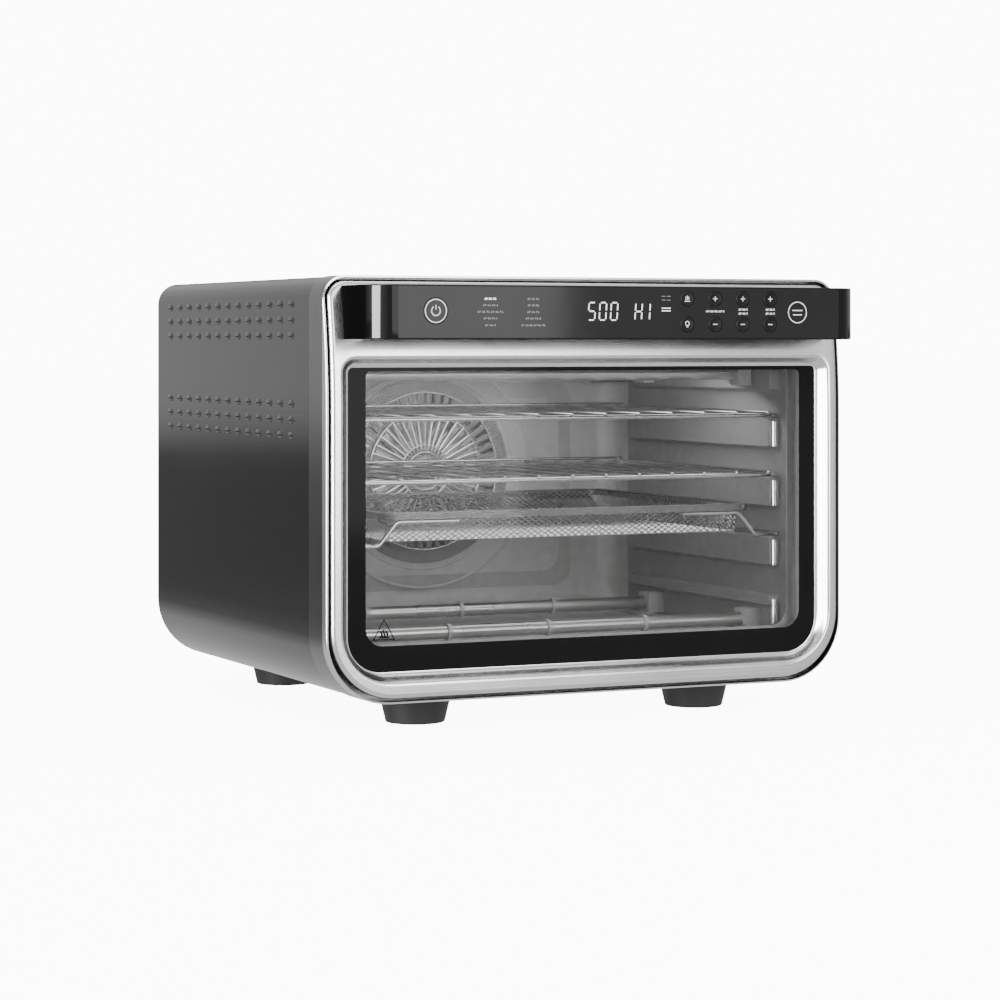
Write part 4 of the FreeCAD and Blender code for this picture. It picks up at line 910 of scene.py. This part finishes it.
def makeDisplay():
    d = displaySettings
    dim, lit = [], []
    for number, (place, widths) in enumerate(d["words"]):
        for row, (width, height) in enumerate(zip(widths, d["wordRows"])):
            target = lit if number == 0 and row == 0 else dim
            target += blockWord(place, width, height)
    digits = [line for x, figure in d["digits"] for line in segmentLines(x, figure)]
    depth = panelDepth - d["printed"]
    strokePiece("displayDigits", digits, d["digitStroke"], depth, "litSegment", "door")
    for height in d["litRows"]:
        lit.append([(d["signLeft"], height), (d["signRight"], height)])
    for height in d["dimRows"]:
        dim.append([(d["signLeft"], height), (d["signBreak"][0], height)])
        dim.append([(d["signBreak"][1], height), (d["signRight"], height)])
    labels = []
    for place, width, heights in d["labels"]:
        for height in heights:
            labels += blockWord(place, width, height)
    strokePiece("litWord", lit, d["litStroke"], depth, "litSegment", "door")
    strokePiece("dimWords", dim, d["dimStroke"], depth, "printGrey", "door")
    strokePiece("buttonLabels", labels, d["labelStroke"], depth, "printWhite", "door")


makeDisplay()

warningSettings = {
    "x": -169, "low": 47, "half": 8.2, "tall": 14.5, "stroke": 0.75, "before": 0.12, "baseHalf": 3.6,
    "baseUp": 1.7, "waves": (-2.2, 0, 2.2), "waveUp": 2.8, "waveWide": 0.5, "waveStep": 0.62,
}


def makeWarning():
    # the usual hot surface sign, low on the window
    w = warningSettings
    x, low = w["x"], w["low"]
    corners = [(x - w["half"], low), (x + w["half"], low), (x, low + w["tall"])]
    base = low + w["baseUp"]
    lines = [corners + [corners[0]], [(x - w["baseHalf"], base), (x + w["baseHalf"], base)]]
    for across in w["waves"]:
        lines.append([(x + across + w["waveWide"] * math.sin(step * 0.9),
                       low + w["waveUp"] + step * w["waveStep"])
                      for step in range(8 if across == 0 else 7)])
    depth = doorSettings["glassDepth"] - w["before"]
    strokePiece("warningSign", lines, w["stroke"], depth, "borderGloss", "door")


makeWarning()
print("controls made")

# basket net: a diamond mesh on the floor and the four sides
basketSettings = {
    "pitch": 5.8, "rise": 0.62, "shortest": 0.5, "wire": 0.4, "sides": 4, "inset": 0.6, "taper": 2.8,
    "rimWire": 0.9, "rimHigh": 137.7, "rimCorner": 13, "cornerSteps": 8,
}


def diamondLines(width, height, pitch):
    # slanting lines both ways across a rectangle, cut at its edges
    lines = []
    rise = basketSettings["rise"]
    for direction in (1, -1):
        start = -height / rise
        while start < width + height / rise:
            x0, y0 = start, 0.0 if direction > 0 else height
            x1, y1 = start + height / rise, height if direction > 0 else 0.0
            low, high = max(0.0, min(x0, x1)), min(width, max(x0, x1))
            if high - low > basketSettings["shortest"]:
                lines.append([(x, y0 + (y1 - y0) * ((x - x0) / (x1 - x0))) for x in (low, high)])
            start += pitch
    return lines


def makeNet():
    b = basketSettings
    low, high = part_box("basket_mesh")
    low = Vector([low[k] + b["inset"] * mm for k in range(3)])
    high = Vector([high[k] - b["inset"] * mm for k in range(3)])
    taper = b["taper"] * mm
    floorLow = (low.x + taper, low.y + taper)
    size = ((high.x - low.x - 2 * taper) / mm, (high.y - low.y - 2 * taper) / mm)
    tall = (high.z - low.z) / mm
    lines = []
    for line in diamondLines(size[0], size[1], b["pitch"]):
        lines.append([(floorLow[0] + x * mm, floorLow[1] + y * mm, low.z) for x, y in line])
    for y, outward in ((floorLow[1], -1), (floorLow[1] + size[1] * mm, 1)):
        for line in diamondLines(size[0], tall, b["pitch"]):
            lines.append([(floorLow[0] + x * mm, y + outward * taper * z / tall, low.z + z * mm)
                          for x, z in line])
    for x, outward in ((floorLow[0], -1), (floorLow[0] + size[0] * mm, 1)):
        for line in diamondLines(size[1], tall, b["pitch"]):
            lines.append([(x + outward * taper * z / tall, floorLow[1] + y * mm, low.z + z * mm)
                          for y, z in line])
    wirePiece("basketNet", lines, b["wire"], "meshSteel", "basket", b["sides"], replaced=["basket_mesh"])


def makeRimEdge():
    # the bright rolled edge along the rim's top
    b = basketSettings
    low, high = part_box("basket_rim")
    inset, corner = b["rimWire"] * mm, b["rimCorner"] * mm
    height = up(b["rimHigh"]) - inset * 0.9
    run = []
    corners = ((high.x, high.y, 0), (low.x, high.y, 90), (low.x, low.y, 180), (high.x, low.y, 270))
    for x, y, first in corners:
        cx = x - math.copysign(inset + corner, x)
        cy = y - (1 if y == high.y else -1) * (inset + corner)
        for step in range(b["cornerSteps"] + 1):
            turn = math.radians(first + 90 * step / b["cornerSteps"])
            run.append((cx + corner * math.cos(turn), cy + corner * math.sin(turn), height))
    wirePiece("basketRimEdge", [run + [run[0]]], b["rimWire"], "brightStainless", "basket", 10)


makeNet()
makeRimEdge()

# pressed rings on the back wall
embossSettings = {"rings": ((100, 1.5), (84, 0.9)), "height": 155, "depth": 320.9}


def makeEmboss():
    e = embossSettings
    for number, (radius, wide) in enumerate(e["rings"]):
        line = [(x * mm, 0, up(z)) for x, z in ringPoints(0, e["height"], radius, 96)]
        wirePiece(f"backRing{number + 1}", [line], wide, "ovenSheet", "oven", 10, (1, 0.5, 1),
                  (0, back(e["depth"]), 0))


makeEmboss()

spokeSettings = {
    "count": 40, "from": 22, "to": 51, "wire": 0.55, "rings": (22, 51, 67), "hub": (6, 11, 16),
    "before": 0.1,
}


def makeSpokes():
    # the ribs pressed into the fan's grille, drawn in a much lighter steel than the grille sheet:
    # painted highlights
    g = spokeSettings
    middle = embossSettings["height"]
    lines = []
    for number in range(g["count"]):
        turn = 2 * math.pi * number / g["count"]
        lines.append([(radius * math.cos(turn) * mm, 0, up(middle + radius * math.sin(turn)))
                      for radius in (g["from"], g["to"])])
    for radius in g["rings"] + g["hub"]:
        lines.append([(x * mm, 0, up(z)) for x, z in ringPoints(0, middle, radius, 72)])
    wirePiece("grilleRibs", lines, g["wire"], "brightStainless", "oven", 6, (1, 0.5, 1),
              (0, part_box("fan_grille")[0].y - g["before"] * mm, 0))


makeSpokes()

noseHighlightSettings = {
    "tops": (64, 111, 158, 205), "tall": 26, "end": 3.2, "place": 183.2, "depth": 43.6, "wire": 3.0,
}


def makeNoseHighlights():
    # bright rounded bars on the front ends of the side rails, in a light steel: painted highlights
    n = noseHighlightSettings
    lines = [[(side * n["place"] * mm, back(n["depth"]), up(top - n["tall"] + n["end"])),
              (side * n["place"] * mm, back(n["depth"]), up(top - n["end"]))]
             for side in (-1, 1) for top in n["tops"]]
    wirePiece("railNoses", lines, n["wire"], "rimStainless", "oven", 16)


makeNoseHighlights()
print("inside made")

# floor, light and sky
floorSettings = {"half": 14, "front": -10, "rear": 18, "tones": (0.90, 0.92), "rough": 0.7, "glow": 10.5}
half, front, rear = floorSettings["half"], floorSettings["front"], floorSettings["rear"]
floorMesh = bpy.data.meshes.new("studioFloor")
floorMesh.from_pydata([(-half, front, 0), (half, front, 0), (half, rear, 0), (-half, rear, 0)], [],
                      [(0, 1, 2, 3)])
floorMaterial, floorTree, floorShader = startFinish("palePaper")
floorDark, floorLight = (grey(value) for value in floorSettings["tones"])
floorTree.links.new(tones(floorTree, grain(floorTree, (2, 2, 2)), floorDark, floorLight),
                    floorShader.inputs["Base Color"])
floorShader.inputs["Roughness"].default_value = floorSettings["rough"]
floorShader.inputs["Emission Color"].default_value = (1, 1, 1, 1)
floorShader.inputs["Emission Strength"].default_value = floorSettings["glow"]
floorMesh.materials.append(floorMaterial)
floor = bpy.data.objects.new("studioFloor", floorMesh)
bpy.context.scene.collection.objects.link(floor)
floor.visible_glossy = False   # the sky's lower half stands for it in reflections
floor.visible_diffuse = False

# a white backdrop for the eye; what the metal reflects is dimmer, with a dark band low behind the oven
skySettings = {
    "backdrop": 12, "sideFrom": -0.15, "sideTo": 0.25,
    # from straight down at 0 to straight up at 1, and how bright
    "front": ((0.0, 1.0), (0.4, 0.85), (0.6, 0.85), (1.0, 1.1)),
    "behind": ((0.0, 1.0), (0.38, 0.8), (0.46, 0.22), (0.4805, 0.22), (0.487, 0.8), (0.7, 0.8),
               (1.0, 1.1)),
}


def makeSky():
    k = skySettings
    world = bpy.data.worlds.new("paleStudio")
    world.use_nodes = True
    tree = world.node_tree
    tree.nodes.clear()
    output = tree.nodes.new("ShaderNodeOutputWorld")
    shade = tree.nodes.new("ShaderNodeBackground")
    path = tree.nodes.new("ShaderNodeLightPath")
    blend = tree.nodes.new("ShaderNodeMixRGB")
    seen = tree.nodes.new("ShaderNodeMixRGB")
    parts = partsOf(tree, "Generated")
    for stops, entry in ((k["front"], "Color1"), (k["behind"], "Color2")):
        ramp = tree.nodes.new("ShaderNodeValToRGB")
        while len(ramp.color_ramp.elements) < len(stops):
            ramp.color_ramp.elements.new(0.5)
        for element, (spot, value) in zip(ramp.color_ramp.elements, stops):
            element.position = spot
            element.color = (value, value, value, 1)
        tree.links.new(rangeOf(tree, parts["Z"], -1, 1), ramp.inputs["Fac"])
        tree.links.new(ramp.outputs["Color"], blend.inputs[entry])
    tree.links.new(rangeOf(tree, parts["Y"], k["sideFrom"], k["sideTo"]), blend.inputs["Fac"])
    seen.inputs["Color2"].default_value = (k["backdrop"], k["backdrop"], k["backdrop"], 1)
    tree.links.new(path.outputs["Is Camera Ray"], seen.inputs["Fac"])
    tree.links.new(blend.outputs["Color"], seen.inputs["Color1"])
    tree.links.new(seen.outputs["Color"], shade.inputs["Color"])
    tree.links.new(shade.outputs["Background"], output.inputs["Surface"])
    bpy.context.scene.world = world


makeSky()

lightSettings = {
    "frontBox": {"place": (0.4, -2.75, 0.7), "aim": (-0.1, -0.2, 0.2), "size": (1.5, 1.5), "power": 55},
    "leftBox": {"place": (-2.3, -0.9, 0.55), "aim": (-0.2, -0.25, 0.25), "size": (1.5, 1.7),
                "power": 190},
    "topBox": {"place": (0.1, -0.1, 2.2), "aim": (0, 0, 0.2), "size": (2.4, 1.8), "power": 40},
    "cavityGlow": {"place": (0, -0.09, 0.262), "aim": (0, 0.0, 0.02), "size": (0.34, 0.16),
                   "power": 0.95},
}
for name, l in lightSettings.items():
    data = bpy.data.lights.new(name, "AREA")
    data.shape = "RECTANGLE"
    data.size, data.size_y = l["size"]
    data.energy = l["power"]
    lamp = bpy.data.objects.new(name, data)
    lamp.location = l["place"]
    lamp.rotation_euler = (Vector(l["aim"]) - Vector(l["place"])).to_track_quat("-Z", "Y").to_euler()
    lamp.visible_camera = False
    lamp.visible_diffuse = name != "leftBox"   # it shows in the metal and the gloss only
    bpy.context.scene.collection.objects.link(lamp)
print("studio made")
